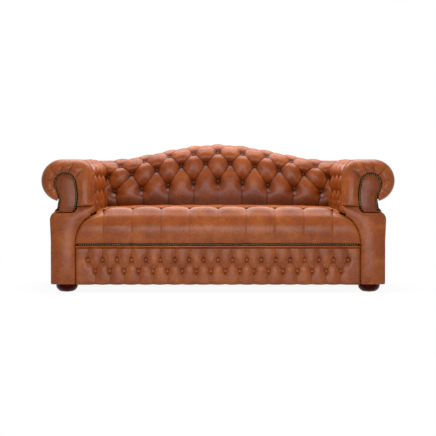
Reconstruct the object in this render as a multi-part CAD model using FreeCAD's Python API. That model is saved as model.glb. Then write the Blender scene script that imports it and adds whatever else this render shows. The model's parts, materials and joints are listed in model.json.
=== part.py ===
"""A three-seat leather sofa with scroll arms, a humped back and deep buttoning.

The sofa stands on its bun feet with the floor at Z = 0. X runs along its width,
the front faces -Y, and the origin is under the middle of the whole piece.
All lengths are in millimetres. Everything is fixed: the seat is upholstered
in one with the frame, so nothing here slides, folds or tilts.
"""
import FreeCAD
import Part
import math
import os

V = FreeCAD.Vector

# Overall sizes
overall_width = 2100.0
overall_depth = 940.0
arm_height = 791.0
back_end_height = 811.0
hump_rise = 105.0
hump_end_inset = 144.5
base_height = 53.0
seat_height = 505.0

# Rolled arms and back: they share one profile, the back standing a little higher
roll_radius = 125.5
roll_overhang = 54.0
roll_to_inner_face = 187.5
shoulder_radius = 89.0
roll_wrap_degrees = 165.0
tuck_depth = 35.0
pad_thickness = 48.0
side_lean = 4.0
shoulder_height = 445.0
shoulder_drop = 55.0
neck_inset = 38.0
neck_top_inset = 8.0
neck_top_height = 558.0

# Seat
seat_front_inset = 24.0
seat_base_height = 283.0
crown_radius = 62.0
seat_pad_thickness = 54.0
seat_pleat_pitch = 170.0
seat_first_row_setback = 72.0
seat_row_pitch = 128.0
seat_spread_facets = 6

# Buttoning of the back and the arms
back_button_pitch = 160.0
button_side_margin = 10.0
arm_button_pitch = 158.0
arm_rows = (80.0, 170.0, 260.0, 362.0, 470.0, 580.0)
back_rows = (120.0, 208.0, 292.0, 392.0, 500.0, 610.0)
arm_first_button_setback = 92.0
button_radius = 11.0
button_height = 14.0
button_gap = 0.9
pit_depth = 24.0
crease_depth = 13.0
corner_crease = 16.0

# Buttoned front border under the seat
border_setback = 30.0
border_top_height = 269.0
border_low_edge = 55.0
border_thickness = 24.0
border_button_pitch = 85.8
border_upper_row_height = 195.0
border_lower_row_height = 128.0
border_pit_depth = 15.0
border_crease_depth = 9.0
border_crown_height = 5.0
border_button_radius = 10.0

# Scroll facing, pleated border and plain panel on the front of each arm
board_plane_inset = 50.0
facing_front_inset = 20.0
facing_head_radius = 65.0
facing_head_drop = 20.0
facing_head_shift = 20.0
facing_foot_height = 479.0
facing_inner_inset = 147.0
facing_bulge_inset = 164.0
facing_waist_inset = 53.5
head_outer_degrees = -35.0
head_top_degrees = 80.0
head_inner_degrees = 180.0
ring_seam_height = 517.0
ring_pleat_depth = 9.0
ring_pleat_degrees = (150.0, 108.0, 75.0, 48.0, 14.0, -26.0)
panel_width = 150.0
panel_setback = 4.0
panel_round = 9.0
rounded_edge_length = 150.0
outside_panel_thickness = 12.0

# Trim
lip_inset = 17.0
nail_strip_width = 9.0
nail_strip_thickness = 2.5

# Timber
board_thickness = 26.0
board_gap = 3.0
rail_thickness = 27.0
rail_bottom = 57.0
post_size = 46.0
slat_width = 44.0
top_rail_thickness = 20.0
tack_rail_width = 30.0
low_rail_rise = 4.0
low_rail_setback = 36.0
corner_block_leg = 130.0
corner_block_height = 46.0

# Webbing, cloths and seat core
strap_width = 50.0
strap_thickness = 2.0
lengthwise_strap_pitch = 130.0
crosswise_strap_pitch = 120.0
cloth_thickness = 1.2
webbing_depth = 4.8
core_setback = 45.0
core_chamfer = 70.0

# Bun feet
foot_radius = 65.5
foot_base_radius = 40.0
foot_neck_inset = 7.0
foot_flare_inset = 7.5
foot_flare_height = 17.0
foot_front_setback = 40.0
foot_rear_setback = 39.6
foot_side_inset = 143.0
glide_radius = 14.0
glide_height = 3.0
bolt_radius = 5.0
bolt_into_block = 34.0
bolt_into_foot = 26.0

# Clearances
cloth_gap = 0.3
soft_gap = 0.4
ring_gap = 3.0
seam_gap = 0.2
seat_side_gap = 7.0
seat_rear_gap = 12.0
roll_panel_gap = 7.0
roll_board_gap = 9.0
back_rail_gap = 21.0
post_gap = 12.0
mitre_gap = 18.0
overrun = 5.0

# Shares of other sizes
rise_power_share = 0.4
edge_crown_share = 0.35
pleat_edge_share = 0.6
bend_in_share = 0.3
bend_up_share = 0.55
ring_pleat_shares = (0.363, 0.461, 0.551, 0.675, 0.787, 0.895, 1.0)
ring_seam_share = 0.77
ring_side_share = 0.3
ring_end_share = 0.57
ring_section_shares = ((0.0, 0.0), (0.2, 0.7), (0.5, 1.0), (0.8, 0.85), (0.97, 0.2))
lip_round_share = 0.4
stretcher_place_share = 0.3
upright_place_share = 0.6
upright_cut_share = 0.5
board_chord_share = 0.9
board_bulge_share = 0.9
rail_drop_share = 0.1
facing_waist_share = 0.4865
foot_belly_share = 0.66
shank_share = 0.12
rim_height_share = 0.62

# Counts, the facets being those of a cell across the pad, at its first edge and at its last
seat_facets = (4, 10, 2)
roll_facets = (4, 2, 6)
border_facets = (2, 2, 2)
button_sides = 5
bolt_sides = 8
glide_sides = 8
ring_cell_steps = 3
hump_points = 13

# Places worked out from the sizes above
half_width = overall_width / 2
front_y = -overall_depth / 2
rear_y = overall_depth / 2
block_x = half_width - roll_overhang
roll_x = half_width - roll_radius
roll_z = arm_height - roll_radius
inner_x = roll_x - roll_to_inner_face
platform_half_width = block_x - panel_width
hump_half_width = roll_x - hump_end_inset
tuck_height = seat_height - tuck_depth
roll_y = rear_y - roll_radius
inner_y = roll_y - roll_to_inner_face
block_y = rear_y - roll_overhang
seat_half_width = inner_x - seat_side_gap
board_y = front_y + board_plane_inset
board_back_y = board_y + board_thickness
seat_front_y = front_y + seat_front_inset
seat_front_rise = seat_height - crown_radius - seat_base_height
seat_crown_run = crown_radius * math.pi / 2
seat_first_row = seat_front_rise + seat_crown_run + seat_first_row_setback - crown_radius
seat_top_run = inner_y - seat_front_y - crown_radius - seat_rear_gap
seat_spread_top = seat_base_height + seat_first_row * seat_spread_facets / seat_facets[1]
facing_y = front_y + facing_front_inset
head_x = roll_x - facing_head_shift
head_z = roll_z - facing_head_drop
facing_waist_height = facing_foot_height + (head_z - facing_foot_height) * facing_waist_share
facing_outer_x = block_x - neck_inset
facing_waist_x = block_x - facing_waist_inset
facing_inner_x = block_x - facing_inner_inset
facing_bulge_x = block_x - facing_bulge_inset
rail_front = front_y + border_setback + border_thickness
rail_top = border_top_height - webbing_depth
side_rail_x = block_x - outside_panel_thickness - side_lean - rail_thickness
rear_rail_y = block_y - outside_panel_thickness - soft_gap - rail_thickness
roll_under_reach = math.sqrt(roll_radius ** 2 - (block_y - roll_y) ** 2)
rear_panel_top = back_end_height - roll_radius - roll_under_reach - roll_panel_gap
low_rail_z = border_top_height + low_rail_rise
low_rail_x = inner_x + pad_thickness + board_gap
neck_rail_x = block_x - outside_panel_thickness - side_lean - board_gap - neck_inset - neck_top_inset
post_inner_x = neck_rail_x - tack_rail_width
post_y = roll_y + post_gap
corner_y = roll_y - mitre_gap
roll_rail_x = roll_x + board_gap
top_rail_inner_x = low_rail_x + shoulder_radius - pad_thickness

# Counts that follow from the room there is
seat_row_count = int((seat_top_run - seat_first_row_setback + crown_radius) / seat_row_pitch)
seat_buttons_wide = 2 * int((seat_half_width - button_side_margin) / seat_pleat_pitch) + 1
back_buttons_wide = 2 * round((inner_x - button_side_margin) / back_button_pitch)
arm_button_run = inner_y - board_y - arm_first_button_setback
arm_buttons_wide = int((arm_button_run - button_side_margin) / arm_button_pitch) + 1
border_half_run = platform_half_width - button_side_margin
border_buttons_wide = 2 * int(border_half_run / border_button_pitch) + 1
crosswise_strap_count = int((rear_rail_y - board_back_y) / crosswise_strap_pitch)


def save(name, solids):
    """Write one sub-part, made of one solid or of several separate ones."""
    os.makedirs("parts", exist_ok=True)
    shape = solids[0] if len(solids) == 1 else Part.makeCompound(solids)
    shape.exportStep("parts/" + name + ".step")
    print(name, len(solids), round(sum(s.Volume for s in solids)), shape.isValid())


def mirrored(shape):
    """The left-hand twin of a right-hand shape."""
    return shape.mirror(V(0, 0, 0), V(1, 0, 0))


def save_pair(name, solids):
    """Write the right-hand sub-part and its left-hand twin."""
    save(name + "_right", solids)
    save(name + "_left", [mirrored(s) for s in solids])


def save_twins(name, shape):
    """Write a right-hand piece and its left-hand twin as one sub-part."""
    solid = shape.Solids[0]
    save(name, [solid, mirrored(solid)])


def box(x, y, z):
    """A box between two values along each axis."""
    return Part.makeBox(x[1] - x[0], y[1] - y[0], z[1] - z[0], V(x[0], y[0], z[0]))


# The rolled profile
def rolled_profile(along, top):
    """Place and outward normal on the profile, as (outward, height) pairs.

    The profile starts at the tuck beside the seat, climbs the inside face, rounds
    the shoulder, crosses the flat top and wraps over the roll.
    """
    face = top - shoulder_radius - tuck_height
    shoulder = shoulder_radius * math.pi / 2
    level = roll_to_inner_face - shoulder_radius
    if along < face:
        return (0.0, tuck_height + along), (-1.0, 0.0)
    if along < face + shoulder:
        turn = (along - face) / shoulder_radius
        normal = (-math.cos(turn), math.sin(turn))
        place = (shoulder_radius * (1 + normal[0]), top - shoulder_radius * (1 - normal[1]))
        return place, normal
    if along < face + shoulder + level:
        return (shoulder_radius + along - face - shoulder, top), (0.0, 1.0)
    turn = (along - face - shoulder - level) / roll_radius
    normal = (math.sin(turn), math.cos(turn))
    place = (roll_to_inner_face + roll_radius * normal[0], top - roll_radius * (1 - normal[1]))
    return place, normal


def profile_length(top):
    """Length of the whole profile for a roll whose top is at this height."""
    straight = top - shoulder_radius - tuck_height + roll_to_inner_face - shoulder_radius
    return straight + shoulder_radius * math.pi / 2 + roll_radius * math.radians(roll_wrap_degrees)


def raised(along, height, top, rise):
    """How far a point of the profile climbs where the roll's top is raised."""
    crest = top - shoulder_radius - tuck_height + shoulder_radius * math.pi / 2
    if along >= crest:
        return rise
    share = max(0.0, (height - seat_height) / (top - seat_height))
    return rise * share ** rise_power_share


def hump(x):
    """Rise of the back's top line over its ends."""
    if abs(x) >= hump_half_width:
        return 0.0
    return hump_rise * (1 + math.cos(math.pi * x / hump_half_width)) / 2


def back_point(x, along, lift):
    """A point of the back, lifted off its base surface."""
    (out, height), normal = rolled_profile(along, back_end_height)
    height += raised(along, height, back_end_height, hump(x))
    return V(x, inner_y + out + lift * normal[0], height + lift * normal[1])


def back_reach(side, along, lift):
    """Where the back meets an arm: a mitre that runs out over the corner."""
    (out, _), normal = rolled_profile(along, back_end_height)
    return side * (inner_x + out + lift * normal[0] - seam_gap)


def arm_rise(y):
    """The arm climbs a little from its front to the back corner."""
    share = (y - board_y) / (inner_y - board_y)
    return (back_end_height - arm_height) * min(1.0, max(0.0, share))


def arm_point(y, along, lift):
    """A point of the right arm, lifted off its base surface."""
    (out, height), normal = rolled_profile(along, arm_height)
    height += raised(along, height, arm_height, arm_rise(y))
    return V(inner_x + out + lift * normal[0], y, height + lift * normal[1])


def arm_reach(side, along, lift):
    """The arm runs from the front board to its mitre with the back."""
    if side < 0:
        return board_y + soft_gap
    (out, _), normal = rolled_profile(along, arm_height)
    return inner_y + out + lift * normal[0] + seam_gap


def seat_point(x, along, lift):
    """A point of the seat, from its front base over the crown to the back."""
    if along < seat_front_rise:
        return V(x, seat_front_y - lift, seat_base_height + along)
    if along < seat_front_rise + seat_crown_run:
        turn = (along - seat_front_rise) / crown_radius
        reach = crown_radius + lift
        y = seat_front_y + crown_radius - reach * math.cos(turn)
        return V(x, y, seat_height - crown_radius + reach * math.sin(turn))
    flat_run = along - seat_front_rise - seat_crown_run
    return V(x, seat_front_y + crown_radius + flat_run, seat_height + lift)


def corner_reach(height):
    """Half the width of the seat's front: it spreads in a curve towards its foot."""
    share = (height - seat_base_height) / (seat_spread_top - seat_base_height)
    share = min(1.0, max(0.0, share))
    spread = platform_half_width - seat_half_width
    return seat_half_width + spread * (1 - share ** 2)


def seat_reach(side, along, lift):
    """The seat fills the gap between the arms and spreads at its front foot."""
    return side * (corner_reach(seat_base_height + along) - soft_gap)


def border_point(x, height, lift):
    """A point of the flat front border under the seat."""
    return V(x, front_y + border_setback - lift, height)


def border_reach(side, height, lift):
    """The front border runs between the two arm panels."""
    return side * (platform_half_width - soft_gap)


# Faceted faces
def polygon_face(points):
    """A flat face with straight sides."""
    return Part.Face(Part.makePolygon(points + points[:1]))


def faceted(lines):
    """Flat triangles over a grid of points, split towards the middle of the grid."""
    faces = []
    columns, rows = len(lines) - 1, len(lines[0]) - 1
    for i, (near, far) in enumerate(zip(lines, lines[1:])):
        for j in range(rows):
            a, b, c, d = near[j], far[j], far[j + 1], near[j + 1]
            if (2 * i < columns) == (2 * j < rows):
                faces += [polygon_face([a, b, c]), polygon_face([a, c, d])]
            else:
                faces += [polygon_face([a, b, d]), polygon_face([b, c, d])]
    return faces


def edge_wall(front, back):
    """Flat triangles that close an edge between a fine line and a coarse one."""
    step = (len(front) - 1) // (len(back) - 1)
    faces = []
    for k, (start, end) in enumerate(zip(back, back[1:])):
        run = front[k * step:(k + 1) * step + 1]
        faces.append(polygon_face([start, end, run[-1]]))
        faces += [polygon_face([start, a, b]) for a, b in zip(run, run[1:])]
    return faces


def closed_solid(faces):
    """Sew faces into one solid."""
    shell = Part.makeCompound(faces)
    shell.sewShape()
    solid = Part.makeSolid(shell.Shells[0])
    if solid.Volume < 0:
        solid.reverse()
    return solid


def blended(lifts, p, q):
    """The lift at one place in a cell, blended from its corners, edges and middle."""
    across = ((1 - p) ** 2, 2 * p * (1 - p), p ** 2)
    along = ((1 - q) ** 2, 2 * q * (1 - q), q ** 2)
    return sum(a * b * lift for a, row in zip(across, lifts) for b, lift in zip(along, row))


# Buttoned pads
class ButtonedPad:
    """A deep-buttoned pad: swelling diamonds and pleats over a base surface.

    Rows of buttons alternate between a wide row and one with a button less. Each
    diamond between four buttons swells to its crown. From the first and last rows
    pleats run to the pad's edges, with a raised ridge between each two. A cell has
    twice as many facets each way in front as behind.
    """

    def __init__(self, point, reach, rows, edges, depth, relief, edge_drop, facets):
        self.point = point
        self.reach = reach
        self.rows = rows
        self.edges = edges
        self.depth = depth
        self.pit, self.crease, self.crown = relief
        self.edge_drop = edge_drop
        self.across_facets, self.first_facets, self.last_facets = facets
        self.faces = []
        # The lift blended at a diamond's middle is then the crown height
        self.top_lift = 4 * self.crown + self.pit + 2 * self.crease

    def cell(self, corners, edge_lifts, middle, along_facets, walls):
        """Front and back of the cell a, b, c, d, with any walls on its edges.

        Each corner is (across, along, lift, side). The edge lifts are those half way
        along ab, bc, dc and ad, and middle is the lift of the cell's middle.
        """
        a, b, c, d = corners
        ab, bc, dc, ad = edge_lifts
        lifts = ((a[2], ad, d[2]), (ab, middle, dc), (b[2], bc, c[2]))
        deep = ((-self.depth,) * len(lifts),) * len(lifts)
        front = self.grid(corners, lifts, self.across_facets, along_facets)
        back = self.grid(corners, deep, self.across_facets // 2, along_facets // 2)
        self.faces += faceted(front) + faceted(back)
        for name in walls:
            self.faces += edge_wall(edge_line(front, name), edge_line(back, name))

    def grid(self, corners, lifts, columns, rows):
        """Points of a cell, as lines that run along the pad."""
        a, b, c, d = corners
        lines = []
        for i in range(columns + 1):
            p = i / columns
            points = []
            for j in range(rows + 1):
                q = j / rows
                lift = blended(lifts, p, q)
                near = self.edge_place(a, d, q, lift)
                far = self.edge_place(b, c, q, lift)
                across, along = [(1 - p) * m + p * n for m, n in zip(near, far)]
                points.append(self.point(across, along, lift))
            lines.append(points)
        return lines

    def edge_place(self, start, end, share, lift):
        """A place between two corners, held to the pad's side where both lie on it."""
        across, along = [(1 - share) * m + share * n for m, n in zip(start[:2], end[:2])]
        if start[-1] and start[-1] == end[-1]:
            across = self.reach(start[-1], along, lift)
        return across, along

    def side_vertex(self, side, row):
        """The point of a side edge level with a row of buttons."""
        along = self.rows[row][0]
        lift = -self.crease if self.is_wide(row) else -self.edge_drop
        return (self.reach(side, along, lift), along, lift, side)

    def is_wide(self, row):
        """Whether a row is one of those with a button more."""
        return len(self.rows[row][1]) == max(len(r[1]) for r in self.rows)

    def button(self, row, index):
        """The pit of one button."""
        along, places = self.rows[row]
        return (places[index], along, -self.pit, 0)

    def build(self):
        """Make every cell and close the pad into one solid."""
        last = len(self.rows) - 1
        for row in range(1, last):
            for index in range(len(self.rows[row][1]) - 1):
                self.diamond(row, index)
        self.edge_cells(0, 1, self.edges[0], self.first_facets, True)
        self.edge_cells(last, last - 1, self.edges[1], self.last_facets, False)
        for side in (-1, 1):
            for row in range(last):
                self.side_cell(side, row)
            self.corner_cell(side, 0, self.edges[0], self.first_facets, True)
            self.corner_cell(side, last, self.edges[1], self.last_facets, False)
        return closed_solid(self.faces)

    def neighbour(self, row, index):
        """Index, in the rows beside it, of the button half a pitch to the right."""
        return index if self.is_wide(row) else index + 1

    def diamond(self, row, index):
        """The full diamond between two neighbours in a row."""
        step = self.neighbour(row, index)
        corners = (self.button(row - 1, step), self.button(row, index + 1),
                   self.button(row + 1, step), self.button(row, index))
        low = -self.crease
        self.cell(corners, (low, low, low, low), self.top_lift, self.across_facets, ())

    def edge_cells(self, row, inner_row, edge, facets, first):
        """Pleats and ridges from a first or last row out to the pad's edge."""
        low = -self.crease
        rim = -self.edge_drop * edge_crown_share
        foot = -self.edge_drop * pleat_edge_share
        top = (4 * self.crown + self.pit - rim) / 2
        for index in range(len(self.rows[row][1]) - 1):
            left = self.button(row, index)
            right = self.button(row, index + 1)
            apex = self.button(inner_row, self.neighbour(row, index))
            ridge = (apex[0], edge, rim, 0)
            left_foot = (left[0], edge, foot, 0)
            right_foot = (right[0], edge, foot, 0)
            if first:
                self.cell((left_foot, ridge, apex, left), (rim, top, low, low), top, facets, ("ab",))
                self.cell((ridge, right_foot, right, apex), (rim, low, low, top), top, facets, ("ab",))
            else:
                self.cell((left, apex, ridge, left_foot), (low, top, rim, low), top, facets, ("dc",))
                self.cell((apex, right, right_foot, ridge), (low, low, rim, top), top, facets, ("dc",))

    def outer(self, side, row):
        """The button of a row that is nearest to one side."""
        return self.button(row, 0 if side < 0 else len(self.rows[row][1]) - 1)

    def side_cell(self, side, row):
        """The patch between two rows at the side of the pad."""
        low = -self.crease
        drop = -self.edge_drop
        lower, upper = self.outer(side, row), self.outer(side, row + 1)
        lower_side, upper_side = self.side_vertex(side, row), self.side_vertex(side, row + 1)
        under = low if self.is_wide(row) else self.crown
        over = low if self.is_wide(row + 1) else self.crown
        if side < 0:
            corners, lifts, wall = (lower_side, lower, upper, upper_side), (under, low, over, drop), "ad"
        else:
            corners, lifts, wall = (lower, lower_side, upper_side, upper), (under, drop, over, low), "bc"
        self.cell(corners, lifts, self.crown, self.across_facets, (wall,))

    def corner_cell(self, side, row, edge, facets, first):
        """The patch at a corner of the pad."""
        low = -self.crease
        drop = -self.edge_drop
        over = low if self.is_wide(row) else self.crown
        button = self.outer(side, row)
        beside = self.side_vertex(side, row)
        foot = (button[0], edge, drop * pleat_edge_share, 0)
        corner = (self.reach(side, edge, drop), edge, drop, side)
        if side < 0 and first:
            corners, lifts, walls = (corner, foot, button, beside), (drop, low, over, drop), ("ab", "ad")
        elif side < 0:
            corners, lifts, walls = (beside, button, foot, corner), (over, low, drop, drop), ("dc", "ad")
        elif first:
            corners, lifts, walls = (foot, corner, beside, button), (drop, drop, over, low), ("ab", "bc")
        else:
            corners, lifts, walls = (button, beside, corner, foot), (over, drop, drop, low), ("dc", "bc")
        self.cell(corners, lifts, 0.0, facets, walls)

    def button_solids(self, radius):
        """A small covered button standing in each pit."""
        solids = []
        seat = button_gap - self.pit
        for along, places in self.rows:
            for across in places:
                base = self.point(across, along, seat)
                tip = self.point(across, along, seat + button_height)
                solids.append(covered_button(base, tip, radius))
        return solids


def edge_line(lines, name):
    """The points along one edge of a cell's grid."""
    if name == "ad":
        return lines[0]
    if name == "bc":
        return lines[-1]
    return [points[0] if name == "ab" else points[-1] for points in lines]


def ring_of_points(radius, level, sides):
    """A closed ring of evenly spaced points round the Z axis."""
    turns = [2 * math.pi * k / sides for k in range(sides + 1)]
    return [V(radius * math.cos(turn), radius * math.sin(turn), level) for turn in turns]


def flat_sided_bar(radius, height, place, sides):
    """A short upright bar with the given number of flats."""
    base = [place + point for point in ring_of_points(radius, 0, sides)]
    return Part.Face(Part.makePolygon(base)).extrude(V(0, 0, height))


def covered_button(base, tip, radius):
    """A covered button, from its narrow shank in the pit over its rim to its crown."""
    height = base.distanceToPoint(tip)
    turn = FreeCAD.Rotation(V(0, 0, 1), tip - base)
    rings = []
    for size, level in ((radius * shank_share, 0.0), (radius, height * rim_height_share)):
        points = ring_of_points(size, level, button_sides)[:-1]
        rings.append([base + turn.multVec(p) for p in points])
    foot, rim = rings
    faces = [polygon_face(foot)]
    for k in range(button_sides):
        faces.append(polygon_face([foot[k - 1], foot[k], rim[k], rim[k - 1]]))
        faces.append(polygon_face([rim[k - 1], rim[k], tip]))
    return closed_solid(faces)


def button_rows(levels, pitch, wide, first_wide, middle):
    """Alternate rows of buttons about a middle line, as (level, places)."""
    rows = []
    for index, level in enumerate(levels):
        count = wide if (index % 2 == 0) == first_wide else wide - 1
        places = [middle + pitch * (k - (count - 1) / 2) for k in range(count)]
        rows.append((level, places))
    return rows


def make_pads():
    """The seat, the inside back, the inside arms and the front border."""
    relief = (pit_depth, crease_depth, 0.0)
    seat_rear = seat_front_rise + seat_crown_run + seat_top_run
    levels = [seat_first_row + seat_row_pitch * k for k in range(seat_row_count)]
    rows = button_rows(levels, seat_pleat_pitch, seat_buttons_wide, True, 0.0)
    seat = ButtonedPad(
        seat_point, seat_reach, rows, (0.0, seat_rear), seat_pad_thickness,
        relief, corner_crease, seat_facets)
    save("seat_pad", [seat.build()])
    save("seat_buttons", seat.button_solids(button_radius))

    rows = button_rows(back_rows, back_button_pitch, back_buttons_wide, False, 0.0)
    back = ButtonedPad(
        back_point, back_reach, rows, (0.0, profile_length(back_end_height)), pad_thickness,
        relief, corner_crease, roll_facets)
    save("inside_back_pad", [back.build()])
    save("back_buttons", back.button_solids(button_radius))

    middle = board_y + arm_first_button_setback + arm_button_pitch * (arm_buttons_wide - 1) / 2
    rows = button_rows(arm_rows, arm_button_pitch, arm_buttons_wide, False, middle)
    arm = ButtonedPad(
        arm_point, arm_reach, rows, (0.0, profile_length(arm_height)), pad_thickness,
        relief, corner_crease, roll_facets)
    save_pair("inside_arm_pad", [arm.build()])
    save_pair("arm_buttons", arm.button_solids(button_radius))

    levels = (border_lower_row_height, border_upper_row_height)
    rows = button_rows(levels, border_button_pitch, border_buttons_wide, False, 0.0)
    border = ButtonedPad(
        border_point, border_reach, rows, (border_low_edge, border_top_height),
        border_thickness - cloth_gap, (border_pit_depth, border_crease_depth, border_crown_height),
        border_crease_depth, border_facets)
    save("front_border", [border.build()])
    save("front_border_buttons", border.button_solids(border_button_radius))


# Outlines as seen from the front
def flat(x, z, y=0.0):
    """A point given by its place as seen from the front."""
    return V(x, y, z)


def line(start, end):
    """A straight edge."""
    return Part.LineSegment(start, end).toShape()


def arc(start, middle, end):
    """A round edge through three points."""
    return Part.Arc(start, middle, end).toShape()


def outline_face(edges):
    """A flat face bounded by edges that meet end to end."""
    return Part.Face(Part.Wire(Part.__sortEdges__(edges)))


def upright_plate(face, y, thickness):
    """A plate that stands across the depth, from a face drawn at y = 0."""
    plate = face.extrude(V(0, thickness, 0))
    plate.translate(V(0, y, 0))
    return plate


def side_edges(inset):
    """The outer side of an arm under its roll, as edges from the foot to the neck."""
    foot = flat(block_x - inset, base_height)
    shoulder = flat(block_x - side_lean - inset, shoulder_height)
    bend = flat(block_x - side_lean - neck_inset * bend_in_share - inset,
                shoulder_height + shoulder_drop * bend_up_share)
    neck = flat(block_x - neck_inset - inset, shoulder_height + shoulder_drop)
    top = flat(block_x - neck_inset - neck_top_inset - inset, neck_top_height)
    return [line(foot, shoulder), arc(shoulder, bend, neck), line(neck, top)]


def head(degrees, inset=0.0):
    """A point on the round head of the scroll facing."""
    turn = math.radians(degrees)
    reach = facing_head_radius - inset
    return flat(head_x + reach * math.cos(turn), head_z + reach * math.sin(turn))


def outer_neck(inset):
    """Curved outer side of the facing, from its foot up to its head."""
    foot = flat(facing_outer_x - inset, facing_foot_height)
    waist = flat(facing_waist_x - inset, facing_waist_height)
    return arc(foot, waist, head(head_outer_degrees, inset))


def inner_neck(inset):
    """Curved inner side of the facing, from its head down to its foot."""
    foot = flat(facing_inner_x + inset, facing_foot_height)
    waist = flat(facing_bulge_x + inset, facing_waist_height)
    return arc(head(head_inner_degrees, inset), waist, foot)


def facing_face(inset):
    """The scroll-shaped face of the facing, or one drawn inside it."""
    over = arc(head(head_outer_degrees, inset), head(head_top_degrees, inset),
               head(head_inner_degrees, inset))
    base = line(flat(facing_inner_x + inset, facing_foot_height),
                flat(facing_outer_x - inset, facing_foot_height))
    return outline_face([outer_neck(inset), over, inner_neck(inset), base])


def along_edge(edge, share):
    """A point part of the way along an edge."""
    first, last = edge.FirstParameter, edge.LastParameter
    return edge.valueAt(first + (last - first) * share)


def arm_outline(along):
    """A point of the arm's rounded outline."""
    (out, height), _ = rolled_profile(along, arm_height)
    return flat(inner_x + out, height)


def seat_corner_points(gap):
    """Points of the edge down which the seat's front spreads to its foot."""
    points = []
    for k in range(seat_spread_facets + 1):
        z = seat_spread_top + (seat_base_height - seat_spread_top) * k / seat_spread_facets
        points.append(flat(corner_reach(z) + gap, z))
    return [point for point in points if point.z < tuck_height - board_gap]


def humped_edges(reach, offset):
    """Short straight runs at an offset from the back's top line."""
    points = []
    for k in range(hump_points):
        x = -reach + 2 * reach * k / (hump_points - 1)
        points.append(flat(x, back_end_height + hump(x) + offset))
    return [line(a, b) for a, b in zip(points, points[1:])]


def humped_board(reach, low, high, y):
    """A bent board that follows the back's top line between two offsets."""
    under, over = humped_edges(reach, low), humped_edges(reach, high)
    ends = [
        line(under[0].Vertexes[0].Point, over[0].Vertexes[0].Point),
        line(under[-1].Vertexes[-1].Point, over[-1].Vertexes[-1].Point),
    ]
    return upright_plate(outline_face(under + over + ends), y[0], y[1] - y[0])


# The front of an arm
def make_front_ring():
    """The pleated border round the scroll facing.

    Each cell lies between two pleats that run out from the facing to the arm's
    rounded edge, and bulges forwards between them.
    """
    inside = inner_neck(-ring_gap)
    outside = outer_neck(-ring_gap)
    outer = [ring_seam_height - tuck_height]
    outer += [profile_length(arm_height) * share for share in ring_pleat_shares]
    turns = ring_pleat_degrees
    inner = [along_edge(inside, ring_seam_share)]
    inner += [head(degrees, -ring_gap) for degrees in turns]
    inner.append(along_edge(outside, ring_end_share))
    middles = [along_edge(inside, ring_side_share)]
    middles += [head((a + b) / 2, -ring_gap) for a, b in zip(turns, turns[1:])]
    middles.append(head(head_outer_degrees, -ring_gap))
    sections = [ring_section(outer[0], inner[0], ring_pleat_depth)]
    for index, middle in enumerate(middles):
        first = sections[-1]
        last = ring_section(outer[index + 1], inner[index + 1], ring_pleat_depth)
        crown = ring_section((outer[index] + outer[index + 1]) / 2, middle, 0.0)
        for k in range(1, ring_cell_steps + 1):
            t = k / ring_cell_steps
            bow = 4 * t * (1 - t)
            sections.append([
                a * (1 - t) + b * t + (c - (a + b) / 2) * bow for a, c, b in zip(first, crown, last)
            ])
    faces = [polygon_face(sections[0]), polygon_face(sections[-1])]
    for low, high in zip(sections, sections[1:]):
        for k in range(len(low)):
            faces.append(polygon_face([low[k - 1], low[k], high[k]]))
            faces.append(polygon_face([low[k - 1], high[k], high[k - 1]]))
    save_twins("arm_front_borders", closed_solid(faces))


def ring_section(along, inner, dip):
    """The border's section at one place, from the facing out to the arm's edge and back."""
    outer = arm_outline(along)
    rear = board_y - soft_gap / 2
    points = [V(inner.x, rear, inner.z)]
    for reach_share, bulge_share in ring_section_shares:
        place = inner + (outer - inner) * reach_share
        front = facing_y - (facing_y - front_y) * bulge_share + dip * bulge_share
        points.append(V(place.x, front, place.z))
    points.append(V(outer.x, rear, outer.z))
    return points


def make_arm_front():
    """The scroll facing, its strip of nails and the plain panel below it."""
    depth = board_y - soft_gap / 2 - facing_y
    facing = upright_plate(facing_face(0.0), facing_y, depth)
    save_twins("scroll_facings", facing)

    ring = facing_face(0.0).cut(facing_face(nail_strip_width))
    strip = upright_plate(ring, facing_y - nail_strip_thickness - cloth_gap, nail_strip_thickness)
    foot = box((inner_x, half_width), (front_y, board_y),
               (base_height, facing_foot_height + nail_strip_width))
    save_twins("facing_nail_strips", strip.cut(foot))

    foot_height = facing_foot_height - soft_gap
    beside = inner_neck(-soft_gap)
    seam = along_edge(inner_neck(-ring_gap), ring_seam_share)
    shares = (1.0, (1 + ring_seam_share) / 2, ring_seam_share)
    facing_side = [along_edge(beside, share) for share in shares]
    outside = side_edges(0.0)[:2]
    neck = [
        outside[1].Vertexes[-1].Point,
        flat(facing_outer_x + soft_gap, foot_height),
        flat(facing_side[0].x, foot_height),
        facing_side[0],
    ]
    corners = [
        facing_side[-1],
        flat(seam.x, seam.z - soft_gap),
        flat(inner_x, ring_seam_height - soft_gap),
        flat(inner_x, tuck_height),
        flat(corner_reach(tuck_height) + soft_gap, tuck_height),
        *seat_corner_points(soft_gap),
        flat(platform_half_width + soft_gap, base_height),
        flat(block_x, base_height),
    ]
    edges = outside + [line(a, b) for a, b in zip(neck, neck[1:])] + [arc(*facing_side)]
    edges += [line(a, b) for a, b in zip(corners, corners[1:])]
    panel_y = facing_y + panel_setback
    panel = upright_plate(outline_face(edges), panel_y, board_y - soft_gap / 2 - panel_y)
    rounded = [
        e for e in panel.Edges
        if e.BoundBox.YMax < panel_y + soft_gap and e.BoundBox.ZLength > rounded_edge_length
    ]
    save_twins("arm_front_panels", panel.makeChamfer(panel_round, rounded))


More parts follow.
